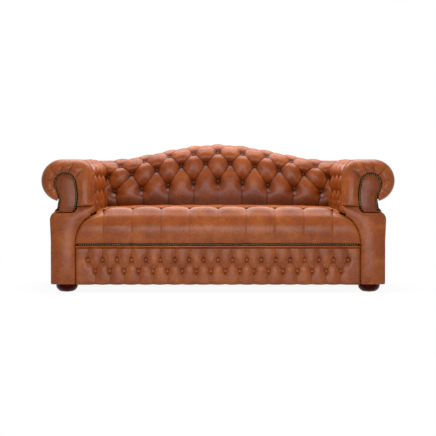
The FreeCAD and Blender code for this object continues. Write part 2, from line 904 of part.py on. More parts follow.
# Plain outer panels
def make_outside_panels():
    """Leather-covered panels on the outer sides and across the rear."""
    outer = side_edges(0.0)
    inner = side_edges(outside_panel_thickness)
    ends = [
        line(outer[0].Vertexes[0].Point, inner[0].Vertexes[0].Point),
        line(outer[2].Vertexes[-1].Point, inner[2].Vertexes[-1].Point),
    ]
    rear_front = block_y - outside_panel_thickness
    side_length = rear_front - soft_gap / 2 - board_y
    side = upright_plate(outline_face(outer + inner + ends), board_y, side_length)
    save_pair("outside_arm_panel", [side])

    right = side_edges(0.0)
    left = [mirrored(e) for e in right]
    neck = right[2].Vertexes[-1].Point
    top = humped_edges(neck.x, rear_panel_top - back_end_height)
    ends = [
        line(neck, top[-1].Vertexes[-1].Point),
        line(mirrored(Part.Vertex(neck)).Point, top[0].Vertexes[0].Point),
        line(flat(-block_x, base_height), flat(block_x, base_height)),
    ]
    rear = upright_plate(outline_face(right + left + top + ends), rear_front, outside_panel_thickness)
    save("outside_back_panel", [rear])


# Trim under the seat's front
def make_front_trim():
    """The rolled lip under the seat and the strip of nails above it."""
    lip_top = seat_base_height - soft_gap
    lip_low = border_top_height + soft_gap
    reach = platform_half_width - soft_gap
    lip_front = front_y + lip_inset
    lip = box((-reach, reach), (lip_front, rail_front), (lip_low, lip_top))
    front = [
        e for e in lip.Edges
        if e.BoundBox.YMax < lip_front + soft_gap and e.BoundBox.XLength > reach
    ]
    save("seat_front_lip", [lip.makeFillet((lip_top - lip_low) * lip_round_share, front)])

    strip_reach = reach - nail_strip_width
    strip_y = lip_front + nail_strip_thickness
    strip = box((-strip_reach, strip_reach), (strip_y, strip_y + nail_strip_thickness),
                (lip_top, lip_top + nail_strip_width))
    save("front_nail_strip", [strip])


# Timber frame
def make_seat_frame():
    """The rails under the seat, their stretchers and corner blocks."""
    board_inner_x = platform_half_width + board_gap
    front = box((-board_inner_x, board_inner_x), (rail_front, board_back_y), (rail_bottom, rail_top))
    save("front_rail", [front])
    save("rear_rail", [box((-side_rail_x, side_rail_x), (rear_rail_y, rear_rail_y + rail_thickness),
                           (rail_bottom, rail_top))])
    side = box((side_rail_x, side_rail_x + rail_thickness), (board_back_y, rear_rail_y + rail_thickness),
               (rail_bottom, rail_top))
    save_pair("side_rail", [side])
    stretchers = []
    for side in (-1, 1):
        middle = side * side_rail_x * stretcher_place_share
        stretchers.append(box((middle - slat_width / 2, middle + slat_width / 2),
                              (board_back_y, rear_rail_y), (rail_bottom, rail_bottom + slat_width)))
    save("seat_stretchers", stretchers)

    blocks = []
    for side in (-1, 1):
        for y, toward in ((board_back_y, 1), (rear_rail_y, -1)):
            corner = V(side * side_rail_x, y, base_height)
            face = polygon_face([corner, corner - V(side * corner_block_leg, 0, 0),
                                 corner + V(0, toward * corner_block_leg, 0)])
            blocks.append(face.extrude(V(0, 0, corner_block_height)))
    blocks = [b.cut(bolt_hole(x, y)) for b, (x, y) in zip(blocks, foot_places())]
    save("corner_blocks", blocks)


def make_arm_frame():
    """The scroll-shaped front board and the rails of each arm."""
    core = roll_radius - pad_thickness - roll_board_gap
    low_x = platform_half_width + board_gap
    high_x = inner_x + pad_thickness + board_gap
    top = arm_height - pad_thickness - roll_board_gap
    outer_x = block_x - outside_panel_thickness - side_lean - board_gap
    neck_x = neck_rail_x
    roll_low = roll_z - core * board_chord_share
    points = [
        flat(low_x, rail_bottom), flat(outer_x, rail_bottom),
        flat(outer_x, shoulder_height - board_gap), flat(neck_x, shoulder_height + shoulder_drop),
        flat(neck_x, roll_low),
    ]
    edges = [line(a, b) for a, b in zip(points, points[1:])]
    edges.append(arc(points[-1], flat(roll_x + core * board_bulge_share, roll_z), flat(roll_x, top)))
    shoulder = flat(high_x + shoulder_radius - pad_thickness, top)
    inner_top = flat(high_x, arm_height - shoulder_radius)
    tuck = flat(high_x, tuck_height - board_gap)
    points = [flat(roll_x, top), shoulder, inner_top, tuck]
    points += seat_corner_points(board_gap) + [flat(low_x, rail_bottom)]
    edges += [line(a, b) for a, b in zip(points, points[1:])]
    board = upright_plate(outline_face(edges), board_y, board_thickness)
    save_pair("arm_scroll_board", [board])

    rail_low = roll_z - tack_rail_width - core * rail_drop_share
    save_pair("arm_top_rail", [box(
        (shoulder.x, roll_x - board_gap), (board_back_y, corner_y), (top - top_rail_thickness, top))])
    save_pair("arm_roll_rail", [box(
        (roll_rail_x, roll_rail_x + tack_rail_width), (board_back_y, roll_y + tack_rail_width),
        (rail_low, rail_low + tack_rail_width))])
    save_pair("arm_neck_rail", [box(
        (neck_x - tack_rail_width, neck_x), (board_back_y, post_y),
        (neck_top_height - tack_rail_width, neck_top_height))])
    save_pair("arm_lower_rail", [box(
        (low_rail_x, low_rail_x + board_thickness), (board_back_y + low_rail_setback, post_y),
        (low_rail_z, low_rail_z + tack_rail_width))])
    save_pair("rear_post", [box(
        (neck_x - tack_rail_width, neck_x), (post_y, post_y + post_size),
        (low_rail_z, neck_top_height))])


def make_back_frame():
    """The bent rails and the uprights inside the back."""
    low_x = low_rail_x
    lower_y = inner_y + pad_thickness + board_gap
    upright_y = lower_y + board_thickness
    save("back_lower_rail", [box((-low_x, low_x), (lower_y, upright_y),
                                 (low_rail_z, low_rail_z + tack_rail_width))])
    save("back_cross_rail", [box((-post_inner_x, post_inner_x), (post_y, post_y + rail_thickness),
                                 (low_rail_z, low_rail_z + tack_rail_width))])
    high = -pad_thickness - back_rail_gap
    low = high - top_rail_thickness
    reach = top_rail_inner_x
    save("back_top_rail", [humped_board(reach, low, high, (upright_y, corner_y))])
    rail_low = -roll_radius - tack_rail_width
    save("back_roll_rail", [humped_board(roll_rail_x, rail_low, rail_low + tack_rail_width,
                                         (roll_y + board_gap, roll_y + board_gap + board_thickness))])
    uprights = []
    for side in (-1, 0, 1):
        middle = side * inner_x * upright_place_share
        under = box((middle - slat_width / 2, middle + slat_width / 2),
                    (upright_y, upright_y + board_thickness),
                    (low_rail_z, back_end_height + hump(middle) + low - slat_width * upright_cut_share))
        uprights.append(under)
    save("back_uprights", uprights)


# Webbing, hessian, seat core and dust cover
def make_suspension():
    """Webbing across the seat frame, the cloth over it and the seat's core."""
    level = rail_top + cloth_gap
    straps = []
    count = 2 * int(seat_half_width / lengthwise_strap_pitch) + 1
    for k in range(count):
        middle = lengthwise_strap_pitch * (k - (count - 1) / 2)
        straps.append(box((middle - strap_width / 2, middle + strap_width / 2),
                          (rail_front, rear_rail_y + rail_thickness), (level, level + strap_thickness)))
    save("lengthwise_webbing", straps)
    level += strap_thickness + cloth_gap
    straps = []
    reach = side_rail_x + rail_thickness
    for k in range(crosswise_strap_count):
        middle = board_back_y + crosswise_strap_pitch * (k + 1) - strap_width / 2
        straps.append(box((-reach, reach), (middle - strap_width / 2, middle + strap_width / 2),
                          (level, level + strap_thickness)))
    save("crosswise_webbing", straps)
    level += strap_thickness + cloth_gap
    reach = seat_half_width - soft_gap
    rear = inner_y - seat_rear_gap
    save("seat_hessian", [box((-reach, reach), (board_back_y + soft_gap, rear),
                              (level, level + cloth_thickness))])
    level += cloth_thickness + cloth_gap
    front = seat_front_y + seat_pad_thickness + core_setback
    core_top = seat_height - seat_pad_thickness - soft_gap
    core = box((-reach, reach), (front, rear), (level, core_top))
    nose = [
        e for e in core.Edges
        if e.BoundBox.YMax < front + soft_gap and e.BoundBox.ZMin > core_top - soft_gap
    ]
    save("seat_core", [core.makeChamfer(core_chamfer, nose)])


def make_dust_cover():
    """The thin cloth under the frame, cut off across its corner blocks."""
    reach = side_rail_x + rail_thickness
    top = rail_bottom - cloth_gap
    cover = box((-reach, reach), (rail_front, rear_rail_y + rail_thickness),
                (top - cloth_thickness, top))
    corners = [e for e in cover.Edges if e.BoundBox.ZLength > cloth_gap]
    cut = corner_block_leg + rail_thickness + rail_thickness + overrun
    save("dust_cover", [cover.makeChamfer(cut, corners)])


# Feet
def foot_places():
    """Centres of the four feet, each under its corner block."""
    x = half_width - foot_side_inset
    front = front_y + foot_front_setback + foot_radius
    rear = block_y - foot_rear_setback - foot_radius
    return [(side * x, y) for side in (-1, 1) for y in (front, rear)]


def bolt_hole(x, y):
    """Room for a foot's bolt."""
    return foot_bolt(x, y, bolt_radius + cloth_gap / 2)


def foot_bolt(x, y, radius):
    """The bar that joins a foot to its corner block."""
    place = V(x, y, base_height - bolt_into_foot)
    return flat_sided_bar(radius, bolt_into_foot + bolt_into_block, place, bolt_sides)


def make_feet():
    """Turned bun feet with their glides and hanger bolts."""
    belly = flat(foot_radius, glide_height + (base_height - glide_height) * foot_belly_share)
    base = flat(foot_base_radius, glide_height)
    neck = flat(foot_radius - foot_neck_inset, base_height)
    middle, low = flat(0, base_height), flat(0, glide_height)
    flare = flat(foot_radius - foot_flare_inset, foot_flare_height)
    corners = [low, base, flare, belly, neck, middle, low]
    edges = [line(a, b) for a, b in zip(corners, corners[1:])]
    turned = outline_face(edges).revolve(V(0, 0, 0), V(0, 0, 1))
    feet, glides, bolts = [], [], []
    for x, y in foot_places():
        foot = turned.copy()
        foot.translate(V(x, y, 0))
        feet.append(foot.cut(bolt_hole(x, y)))
        glides.append(flat_sided_bar(glide_radius, glide_height, V(x, y, 0), glide_sides))
        bolts.append(foot_bolt(x, y, bolt_radius))
    save("bun_feet", feet)
    save("foot_glides", glides)
    save("foot_bolts", bolts)


make_pads()
make_front_ring()
make_arm_front()
make_outside_panels()
make_front_trim()
make_seat_frame()
make_arm_frame()
make_back_frame()
make_suspension()
make_dust_cover()
make_feet()
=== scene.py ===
# %% [markdown]
# This lesson dresses a three-seat sofa in glossy brown leather. It has a humped back, scroll arms,
# a bench seat and a front border, all pulled in by covered buttons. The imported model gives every
# piece its true place, so it is loaded first and never moved.

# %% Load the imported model
import json
import math

import bmesh
import bpy
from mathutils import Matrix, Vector, noise


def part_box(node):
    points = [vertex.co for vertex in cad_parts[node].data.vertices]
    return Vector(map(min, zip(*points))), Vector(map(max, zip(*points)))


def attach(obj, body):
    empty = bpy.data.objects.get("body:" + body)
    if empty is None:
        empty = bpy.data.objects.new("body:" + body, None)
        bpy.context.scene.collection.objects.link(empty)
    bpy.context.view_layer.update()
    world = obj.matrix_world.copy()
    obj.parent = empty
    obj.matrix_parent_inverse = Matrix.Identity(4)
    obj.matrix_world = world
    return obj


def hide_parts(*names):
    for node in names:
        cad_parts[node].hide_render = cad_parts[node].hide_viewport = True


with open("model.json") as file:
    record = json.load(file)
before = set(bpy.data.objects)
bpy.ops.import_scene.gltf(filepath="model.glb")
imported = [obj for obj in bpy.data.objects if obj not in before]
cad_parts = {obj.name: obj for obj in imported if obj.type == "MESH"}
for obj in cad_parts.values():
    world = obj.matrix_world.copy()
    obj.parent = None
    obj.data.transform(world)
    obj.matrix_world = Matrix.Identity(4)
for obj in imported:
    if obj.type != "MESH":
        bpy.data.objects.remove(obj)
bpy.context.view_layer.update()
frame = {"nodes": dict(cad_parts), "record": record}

# %% [markdown]
# The back and the arms are upholstered over one rolled profile: up the inside face, round a
# shoulder, over a flat top and down round the roll. The sizes below are the sofa's own, in metres.

# %% Sizes of the upholstery
half_width = 1.050
half_depth = 0.470
arm_height = 0.791
back_end_height = 0.811
hump_rise = 0.105
hump_half_width = 0.780
seat_height = 0.505
tuck_height = 0.470
roll_radius = 0.1255
roll_to_inner_face = 0.1875
shoulder_radius = 0.089
roll_wrap = math.radians(165)
rise_power = 0.4
shoulder_arc = shoulder_radius * math.pi / 2
roll_level = roll_to_inner_face - shoulder_radius
roll_x = half_width - roll_radius
inner_x = roll_x - roll_to_inner_face
inner_y = half_depth - roll_radius - roll_to_inner_face
board_y = -half_depth + 0.050
facing_y = -half_depth + 0.020
seam_gap = 0.0002


# %% The rolled profile
def rolled_profile(along, top):
    """Place and outward normal on the profile, as (outward, height) pairs."""
    face = top - shoulder_radius - tuck_height
    if along < face:
        return (0.0, tuck_height + along), (-1.0, 0.0)
    if along < face + shoulder_arc:
        turn = (along - face) / shoulder_radius
        out, up = -math.cos(turn), math.sin(turn)
        return (shoulder_radius * (1 + out), top - shoulder_radius * (1 - up)), (out, up)
    run = along - face - shoulder_arc
    if run < roll_level:
        return (shoulder_radius + run, top), (0.0, 1.0)
    turn = (run - roll_level) / roll_radius
    out, up = math.sin(turn), math.cos(turn)
    return (roll_to_inner_face + roll_radius * out, top - roll_radius * (1 - up)), (out, up)


def profile_length(top):
    """Length of the whole profile for a roll whose top is at this height."""
    face = top - shoulder_radius - tuck_height
    return face + shoulder_arc + roll_level + roll_radius * roll_wrap


def raised(along, height, top, rise):
    """How far a point of the profile climbs where the roll's top is raised."""
    if along >= top - shoulder_radius - tuck_height + shoulder_arc:
        return rise
    return rise * max(0.0, (height - seat_height) / (top - seat_height)) ** rise_power


def lifted_profile(along, lift, top, rise):
    """A place on the profile of a roll with a raised top, lifted along its normal."""
    (out, height), normal = rolled_profile(along, top)
    height += raised(along, height, top, rise)
    return out + lift * normal[0], height + lift * normal[1]


def hump(x):
    """Rise of the back's top line over its ends."""
    share = min(1.0, abs(x) / hump_half_width)
    return hump_rise * (1 + math.cos(math.pi * share)) / 2


# %% [markdown]
# Each pad is described by its two sides and by where a point of it lies, given how far it is
# across the pad, how far along, and how far it is lifted off the base surface.

# %% The back's and the arms' surfaces
def back_point(x, along, lift):
    """A point of the back."""
    out, height = lifted_profile(along, lift, back_end_height, hump(x))
    return Vector((x, inner_y + out, height))


def back_reach(side, along, lift):
    """The back runs out to a mitre over each corner."""
    return side * (inner_x + lifted_profile(along, lift, back_end_height, 0.0)[0] - seam_gap)


def arm_rise(y):
    """The arm climbs a little from its front to the back corner."""
    share = (y - board_y) / (inner_y - board_y)
    return (back_end_height - arm_height) * min(1.0, max(0.0, share))


def arm_point(y, along, lift):
    """A point of the right arm."""
    out, height = lifted_profile(along, lift, arm_height, arm_rise(y))
    return Vector((inner_x + out, y, height))


def arm_reach(side, along, lift):
    """The arm runs from its front board to its mitre with the back."""
    if side < 0:
        return board_y + seam_gap
    return inner_y + lifted_profile(along, lift, arm_height, 0.0)[0] + seam_gap


# %% The seat's and the front border's surfaces
seat_front_y = -half_depth + 0.024
seat_base_height = 0.283
crown_radius = 0.062
seat_half_width = inner_x - 0.007
platform_half_width = 0.846
seat_front_rise = seat_height - crown_radius - seat_base_height
seat_crown_run = crown_radius * math.pi / 2
seat_first_row = seat_front_rise + seat_crown_run + 0.072 - crown_radius
seat_rear = seat_front_rise + seat_crown_run + inner_y - seat_front_y - crown_radius - 0.012
packed_spread, seat_spread = seat_first_row * 0.6, seat_first_row * 0.8
platform_gap = 0.0006
border_y = -half_depth + 0.030


def seat_point(x, along, lift):
    """A point of the seat, from its front base over the crown to the back."""
    if along < seat_front_rise:
        return Vector((x, seat_front_y - lift, seat_base_height + along))
    if along < seat_front_rise + seat_crown_run:
        turn = (along - seat_front_rise) / crown_radius
        reach = crown_radius + lift
        y = seat_front_y + crown_radius - reach * math.cos(turn)
        return Vector((x, y, seat_height - crown_radius + reach * math.sin(turn)))
    run = along - seat_front_rise - seat_crown_run
    return Vector((x, seat_front_y + crown_radius + run, seat_height + lift))


def corner_reach(along, spread):
    """Half the width of the seat's front, which spreads in a curve towards its foot."""
    share = min(1.0, max(0.0, along / spread))
    return seat_half_width + (platform_half_width - seat_half_width) * (1 - share ** 2)


def seat_reach(side, along, lift):
    """The seat fills the gap between the arms and spreads at its front foot."""
    return side * (corner_reach(along, seat_spread) - platform_gap)


def border_point(x, height, lift):
    """A point of the flat front border under the seat."""
    return Vector((x, border_y - lift, height))


def border_reach(side, height, lift):
    """The front border runs between the two arm panels."""
    return side * (platform_half_width - platform_gap)


# %% [markdown]
# Deep buttoning is a lattice of diamonds. A fold runs from each button to its four neighbours, so
# in slanted coordinates every fold is a whole number. Three things shape the hide between them: a
# broad dome over each diamond, a narrow fold along each edge and a dimple round each button. The
# mesh lines run along the folds, so that they stay crisp without a very fine mesh.

# %% The relief of the buttoning
fold_sharpness = 0.22
tucked_sharpness = 0.75
line_reach = 0.055
dome_power = 0.8
dimple_power = 1.25
pleat_fading, pleat_fading_rows = 0.34, 2.4
blend_reach = 0.3


def ease(t):
    """A smooth step from 0 to 1."""
    t = min(1.0, max(0.0, t))
    return t * t * (3 - 2 * t)


def off_lattice(value):
    """Distance to the nearest whole number."""
    return abs(value - round(value))


def swell(distance):
    """Sine of the way from a fold, 0 on it and 1 half a pitch away."""
    return math.sin(math.pi * min(distance, 0.5))


def dimple(pad, squared):
    """Depth of the dimple round a button, 1 at the button itself."""
    return math.exp(-(squared ** 0.5 / pad["pit_reach"]) ** dimple_power)


def line_tone(pad, distance):
    """How open the hide lies beside a fold, which shows as a thin dark line of painted shade."""
    return 1 - pad["line_shade"] * (1 - ease(distance / line_reach))


def fold_gaps(pad, x, row):
    """Distances to the nearest rising and the nearest falling fold."""
    return [off_lattice(x + pad["shift"] + slant * row / 2) for slant in (-1, 1)]


def folded(pad, a):
    """Lift of the hide beside a fold, for a from 0 on the fold to 1 in the open."""
    return -pad["crease"] * (1 - a ** fold_sharpness) - pad["dome"] * (1 - a ** dome_power)


def lattice_lift(pad, x, row):
    """Lift of the hide between the buttons, and how open it lies from 0 to 1."""
    rising, falling = fold_gaps(pad, x, row)
    deep = dimple(pad, rising ** 2 + falling ** 2)
    # The tone is painted shade: a thin dark line along each fold and a dark dimple round each
    # button.
    tone = line_tone(pad, min(rising, falling)) * (1 - pad["pit_shade"] * deep)
    return folded(pad, swell(rising) * swell(falling)) - pad["pit"] * deep, tone


def pleat_lift(pad, x, row, away, outward):
    """Lift of the pleats that run from a first or last row out to the pad's edge.

    A pleat is lopsided, since its hide is tucked under on the side away from the middle.
    """
    value = x + pad["shift"] - row / 2
    gap = (value - round(value)) * (1 if x > 0 else -1)
    if outward:
        gap = min(0.5, abs(gap) + outward)
    a = swell(abs(gap))
    open_share = a ** (tucked_sharpness if gap > 0 else fold_sharpness)
    deep = dimple(pad, 2 * gap ** 2 + away ** 2 / 2)
    lift = -pad["pit"] * deep - pad["pleat"] * (1 - open_share)
    strength = 1 - pleat_fading * min(pleat_fading_rows, away)
    # Painted shade along the pleat, fading away from the row, and in the dimple round its button.
    tone = 1 - strength * (1 - line_tone(pad, abs(gap)))
    return lift - pad["pleat_dome"] * (1 - a), tone * (1 - pad["pit_shade"] * deep)


def mixed(first, second, share):
    """Two pairs of numbers mixed."""
    return tuple((1 - share) * a + share * b for a, b in zip(first, second))


def hide_lift(pad, column, line):
    """Lift of the hide and how open it lies, at one place of the pad's grid."""
    x, beside = column
    row, along, beyond, away = line
    outward = 0.0
    here = lattice_lift(pad, x, row)
    if beside:
        side = 1 if x > 0 else -1
        edge = side * (pad["reach"](side, along, 0.0) - pad["middle"])
        outward = beside * (edge / pad["pitch"] - abs(x))
        gap = off_lattice((row if pad["first_wide"] else row - 1) / 2)
        fade = (1 - ease(beside) * pad["side_fade"]) * pad["side_relief"]
        # Painted shade along the folds at the pad's sides as well.
        tone = 1 - (1 - line_tone(pad, gap)) * min(1.0, fade)
        here = mixed(here, (folded(pad, swell(gap)) * fade, tone), ease(outward / blend_reach))
    if beyond:
        here = mixed(here, pleat_lift(pad, x, row, away, outward), ease(beyond / blend_reach))
    return here


def rim_drop(pad, across, along, edge):
    """How far the hide rolls down towards the edges of the pad."""
    drop = 0.0
    gaps = (abs(edge - across) if edge else 1.0, along - pad["start"], pad["end"] - along)
    for gap, rim in zip(gaps, pad["rims"]):
        depth, reach = rim(along) if callable(rim) else rim
        near = 1 - min(1.0, max(0.0, gap / reach))
        drop += depth * (1 - (1 - near ** 2) ** 0.5)
    return drop


# %% [markdown]
# A pad is one sheet of hide with a closed back, so it is a solid form like the real one. The front
# is a fine grid and the back a coarse one, and their rims are bridged. Each vertex also stores how
# open the hide lies, and the material uses it as painted shade, darkening the hide down in the
# folds and round the buttons.
# The rows of the back drift a little, as they do on a hand-buttoned back.

# %% Build a buttoned pad
coarseness = 8
drift_middle, drift_width = 0.40, 0.13
unevenness, unevenness_scale = 0.0014, 9
tuck_shade_start, tuck_shade_reach = 0.01, 0.17


def pad_columns(pad):
    """The grid's columns, as (place in pitches, share of the way out to the pad's side)."""
    last, step, side = pad["last"], 2 * pad["fineness"], pad["side_lines"]
    columns = [(-last, 1 - k / side) for k in range(side)]
    count = round(2 * last * step)
    columns += [(-last + k / step, 0.0) for k in range(count + 1)]
    return columns + [(last, (k + 1) / side) for k in range(side)]


def edge_lines(row, start, end, count, pitch):
    """Lines from a row out to the pad's edge, nearest first."""
    return [(row, start + (end - start) * share, share, abs(end - start) * share / pitch)
            for share in ((k + 1) / count for k in range(count))]


def pad_lines(pad):
    """The grid's lines, as (row, distance along, share of the way to the edge, rows beyond)."""
    rows = pad["rows"]
    last = len(rows) - 1
    first, final = pad["edge_lines"]
    lines = edge_lines(0, rows[0], pad["start"], first, rows[1] - rows[0])[::-1]
    for index, (low, high) in enumerate(zip(rows, rows[1:])):
        for k in range(pad["fineness"]):
            share = k / pad["fineness"]
            lines.append((index + share, low + (high - low) * share, 0.0, 0.0))
    lines.append((last, rows[-1], 0.0, 0.0))
    return lines + edge_lines(last, rows[-1], pad["end"], final, rows[-1] - rows[-2])


def drift(pad, x, row, beyond):
    """How far the hand-set rows stray across and along, in metres."""
    if "drift" not in pad:
        return 0.0, 0.0
    low = min(len(pad["rows"]) - 2, int(row))
    fan, rise, bump = mixed(pad["drift"][low], pad["drift"][low + 1], row - low)
    across = pad["pitch"] * x
    bell = math.exp(-((abs(across) - drift_middle) / drift_width) ** 2)
    stray = fan * max(0.0, abs(x) - 1) * across
    return stray * (1 - beyond), (rise + bump * bell) * (1 - beyond)


def spot(pad, column, line, lift):
    """Distances across and along of one place of the pad's grid."""
    x, beside = column
    row, along, beyond, _ = line
    stray, climb = drift(pad, x, row, beyond)
    along += climb * (1 - beside)
    if "hem" in pad and row == 0:
        along -= pad["hem"] * ease(beyond) * swell(off_lattice(x + pad["shift"]))
    across = pad["middle"] + pad["pitch"] * x + stray
    edge = None
    if beside:
        edge = pad["reach"](-1 if x < 0 else 1, along, lift)
        across += (edge - across) * beside
    return across, along, edge


def crown(pad, across, along):
    """How far the pad's own crown lifts the hide."""
    return pad["crown"](across, along) if "crown" in pad else 0.0


def lay_sheet(bm, pad, columns, lines, deep):
    """Lay one grid on the pad's surface, at its relief or at a fixed depth."""
    wide, tall = len(columns) - 1, len(lines) - 1
    made = bmesh.ops.create_grid(bm, x_segments=wide, y_segments=tall, size=1.0)["verts"]
    fold = bm.verts.layers.float["fold"]
    places = {}
    for v in made:
        i = round((v.co.x + 1) / 2 * wide)
        j = round((v.co.y + 1) / 2 * tall)
        places[v] = (i, j)
        column, line = columns[i], lines[j]
        lift = -deep
        if not deep:
            lift, v[fold] = hide_lift(pad, column, line)
            across, along, edge = spot(pad, column, line, lift)
            lift += crown(pad, across, along) - rim_drop(pad, across, along, edge)
            # Painted shade: the hide darkens towards the tuck at the pad's foot.
            tucked = 1 - ease((along - tuck_shade_start) / tuck_shade_reach)
            v[fold] *= 1 - pad.get("tuck_shade", 0.0) * tucked
            place = Vector((across, along, pad["end"]))
            lift -= unevenness * abs(noise.noise(place * unevenness_scale))
        across, along, _ = spot(pad, column, line, lift)
        v.co = pad["point"](across, along, lift)
    return places


def split_along_folds(pad, columns, lines, places, faces):
    """Cut each square of the grid in two, along the fold that is nearest."""
    for face in faces:
        at = {places[v]: v for v in face.verts}
        i, j = min(at)
        x = (columns[i][0] + columns[i + 1][0]) / 2
        row = (lines[j][0] + lines[j + 1][0]) / 2
        rising, falling = fold_gaps(pad, x, row)
        ends = ((i, j), (i + 1, j + 1)) if rising < falling else ((i + 1, j), (i, j + 1))
        bmesh.utils.face_split(face, at[ends[0]], at[ends[1]])


def every(items, step):
    """About one item in so many, with the first and the last."""
    count = max(2, round((len(items) - 1) / step))
    return [items[round(k * (len(items) - 1) / count)] for k in range(count + 1)]


def new_bmesh():
    """A bmesh that stores a fold value on each vertex."""
    bm = bmesh.new()
    bm.verts.layers.float.new("fold")
    return bm


def set_tone_level(bm, tone_level):
    """Give every vertex the same fold value."""
    fold = bm.verts.layers.float.new("fold")
    for v in bm.verts:
        v[fold] = tone_level


def mesh_of(bm, name):
    """A mesh from a bmesh, which is then freed."""
    mesh = bpy.data.meshes.new(name)
    bm.to_mesh(mesh)
    bm.free()
    return mesh


def new_object(name, data):
    """A new object in the scene."""
    made = bpy.data.objects.new(name, data)
    bpy.context.scene.collection.objects.link(made)
    return made


def finish_piece(bm, name, material, replaced):
    """Turn a bmesh into a piece that rides on the sofa and stands for its CAD nodes."""
    bmesh.ops.recalc_face_normals(bm, faces=bm.faces)
    mesh = mesh_of(bm, name)
    mesh.shade_smooth()
    mesh.materials.append(material)
    piece = new_object(name, mesh)
    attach(piece, "root")
    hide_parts(*replaced)
    print(name, "has", len(mesh.polygons), "faces")
    return piece


def buttoned_pad(name, node, pad, flipped=False):
    """One buttoned pad, or its mirror image."""
    bm = new_bmesh()
    columns, lines = pad_columns(pad), pad_lines(pad)
    places = lay_sheet(bm, pad, columns, lines, 0.0)
    split_along_folds(pad, columns, lines, places, list(bm.faces))
    lay_sheet(bm, pad, every(columns, coarseness), every(lines, coarseness), pad["depth"])
    bmesh.ops.bridge_loops(bm, edges=[e for e in bm.edges if e.is_boundary])
    if flipped:
        bmesh.ops.scale(bm, vec=(-1, 1, 1), verts=bm.verts)
    finish_piece(bm, name, hide, [node])


# %% [markdown]
# The hide is the finish that shows most. It is a glossy, hand-coloured leather: brown mottled with
# red and tan, with a fine pebble grain. Noise on Object coordinates gives the mottling, noise and
# small cells give the grain as bump, and the stored value darkens the folds with painted shade.


# %% Helpers for materials
def new_material(name):
    """A node material and its shader."""
    material = bpy.data.materials.new(name)
    material.use_nodes = True
    return material, material.node_tree, material.node_tree.nodes["Principled BSDF"]


def tune(node, **settings):
    """Set a node's properties, and its inputs from values or other nodes' outputs."""
    for key, value in settings.items():
        name = key.replace("_", " ")
        if hasattr(node, key):
            setattr(node, key, value)
        elif isinstance(value, bpy.types.NodeSocket):
            node.id_data.links.new(value, node.inputs[name])
        else:
            node.inputs[name].default_value = value


def add(tree, kind, **settings):
    """A new node with its settings."""
    node = tree.nodes.new(kind)
    tune(node, **settings)
    return node


def pattern(tree, kind, **settings):
    """A new node that works on Object coordinates."""
    place = tree.nodes.new("ShaderNodeTexCoord").outputs["Object"]
    return add(tree, kind, Vector=place, **settings)


def noise_pattern(tree, scale, detail, roughness=0.55, distortion=0.0):
    """The strength of a noise."""
    node = pattern(tree, "ShaderNodeTexNoise", Scale=scale, Detail=detail, Roughness=roughness,
                   Distortion=distortion)
    return node.outputs["Fac"]


def ramp(tree, source, *stops):
    """A colour ramp with (position, colour) stops."""
    node = add(tree, "ShaderNodeValToRGB", Fac=source)
    elements = node.color_ramp.elements
    while len(elements) < len(stops):
        elements.new(0.5)
    for element, (position, colour) in zip(elements, stops):
        element.position = position
        element.color = (*colour, 1.0)
    return node.outputs["Color"]


def multiplied(tree, share, a, b):
    """One colour multiplied by another, in full or in part."""
    node = add(tree, "ShaderNodeMix", data_type="RGBA", blend_type="MULTIPLY")
    node.inputs[0].default_value = share
    tree.links.new(a, node.inputs[6])
    tree.links.new(b, node.inputs[7])
    return node.outputs[2]


def bump(tree, height, distance, strength, **under):
    """A bump from a height, on top of another bump if there is one."""
    node = add(tree, "ShaderNodeBump", Height=height, Distance=distance, Strength=strength,
               **under)
    return node.outputs["Normal"]


def scaled(tree, source, low, high):
    """A 0 to 1 output brought between two values."""
    node = add(tree, "ShaderNodeMapRange", Value=source, To_Min=low, To_Max=high)
    return node.outputs["Result"]


def joined(tree, operation, a, b):
    """Two outputs added or multiplied, and kept between 0 and 1."""
    node = add(tree, "ShaderNodeMath", operation=operation, use_clamp=True)
    for source, socket in zip((a, b), node.inputs):
        tree.links.new(source, socket)
    return node.outputs["Value"]


def fold_value(tree):
    """The number from 0 to 1 that is stored on the mesh."""
    return add(tree, "ShaderNodeAttribute", attribute_name="fold").outputs["Fac"]


# %% The hide
def make_hide():
    """Glossy brown leather."""
    material, tree, shader = new_material("brown_hide")
    cloudy = noise_pattern(tree, 9.0, 7.0, 0.66, 0.5)
    colour = ramp(tree, cloudy,
                  (0.28, (0.155, 0.030, 0.005)), (0.50, (0.222, 0.050, 0.008)),
                  (0.74, (0.305, 0.084, 0.016)))
    speckle = noise_pattern(tree, 130.0, 5.0, 0.7)
    fine = ramp(tree, speckle, (0.34, (0.80, 0.76, 0.74)), (0.62, (1.08, 1.07, 1.06)))
    colour = multiplied(tree, 0.7, colour, fine)
    # Painted shade: the stored value darkens the hide in its folds, round its buttons and towards
    # the tuck, and evenly on some whole pieces.
    shade = ramp(tree, fold_value(tree),
                 (0.0, (0.14, 0.08, 0.06)), (0.45, (0.62, 0.54, 0.50)), (0.80, (1.0, 1.0, 1.0)))
    colour = multiplied(tree, 1.0, colour, shade)
    pebble = pattern(tree, "ShaderNodeTexVoronoi", Scale=520.0)
    normal = bump(tree, noise_pattern(tree, 34.0, 5.0, 0.6, 1.0), 0.0016, 0.3)
    normal = bump(tree, pebble.outputs["Distance"], 0.00035, 0.3, Normal=normal)
    tune(shader, Base_Color=colour, Normal=normal, Roughness=scaled(tree, speckle, 0.22, 0.32),
         Specular_IOR_Level=0.18, Coat_Weight=0.08, Coat_Roughness=0.20)
    return material


hide = make_hide()

# %% [markdown]
# Now the pads. Each takes its rows of buttons as distances along its surface, and its outermost
# button in pitches from the middle. Its rims say how deep and how wide the hide rolls over at the
# sides, at the start and at the end.

# %% The inside back
roll_overlap = 0.005
foot_lean, foot_lean_height = 0.020, 0.13


def crown_of_back(across, along):
    """The foot of the back leans in towards the tuck, where the hide is pulled down."""
    return -foot_lean * 2 * (1 - ease((along / foot_lean_height + 1) / 2))
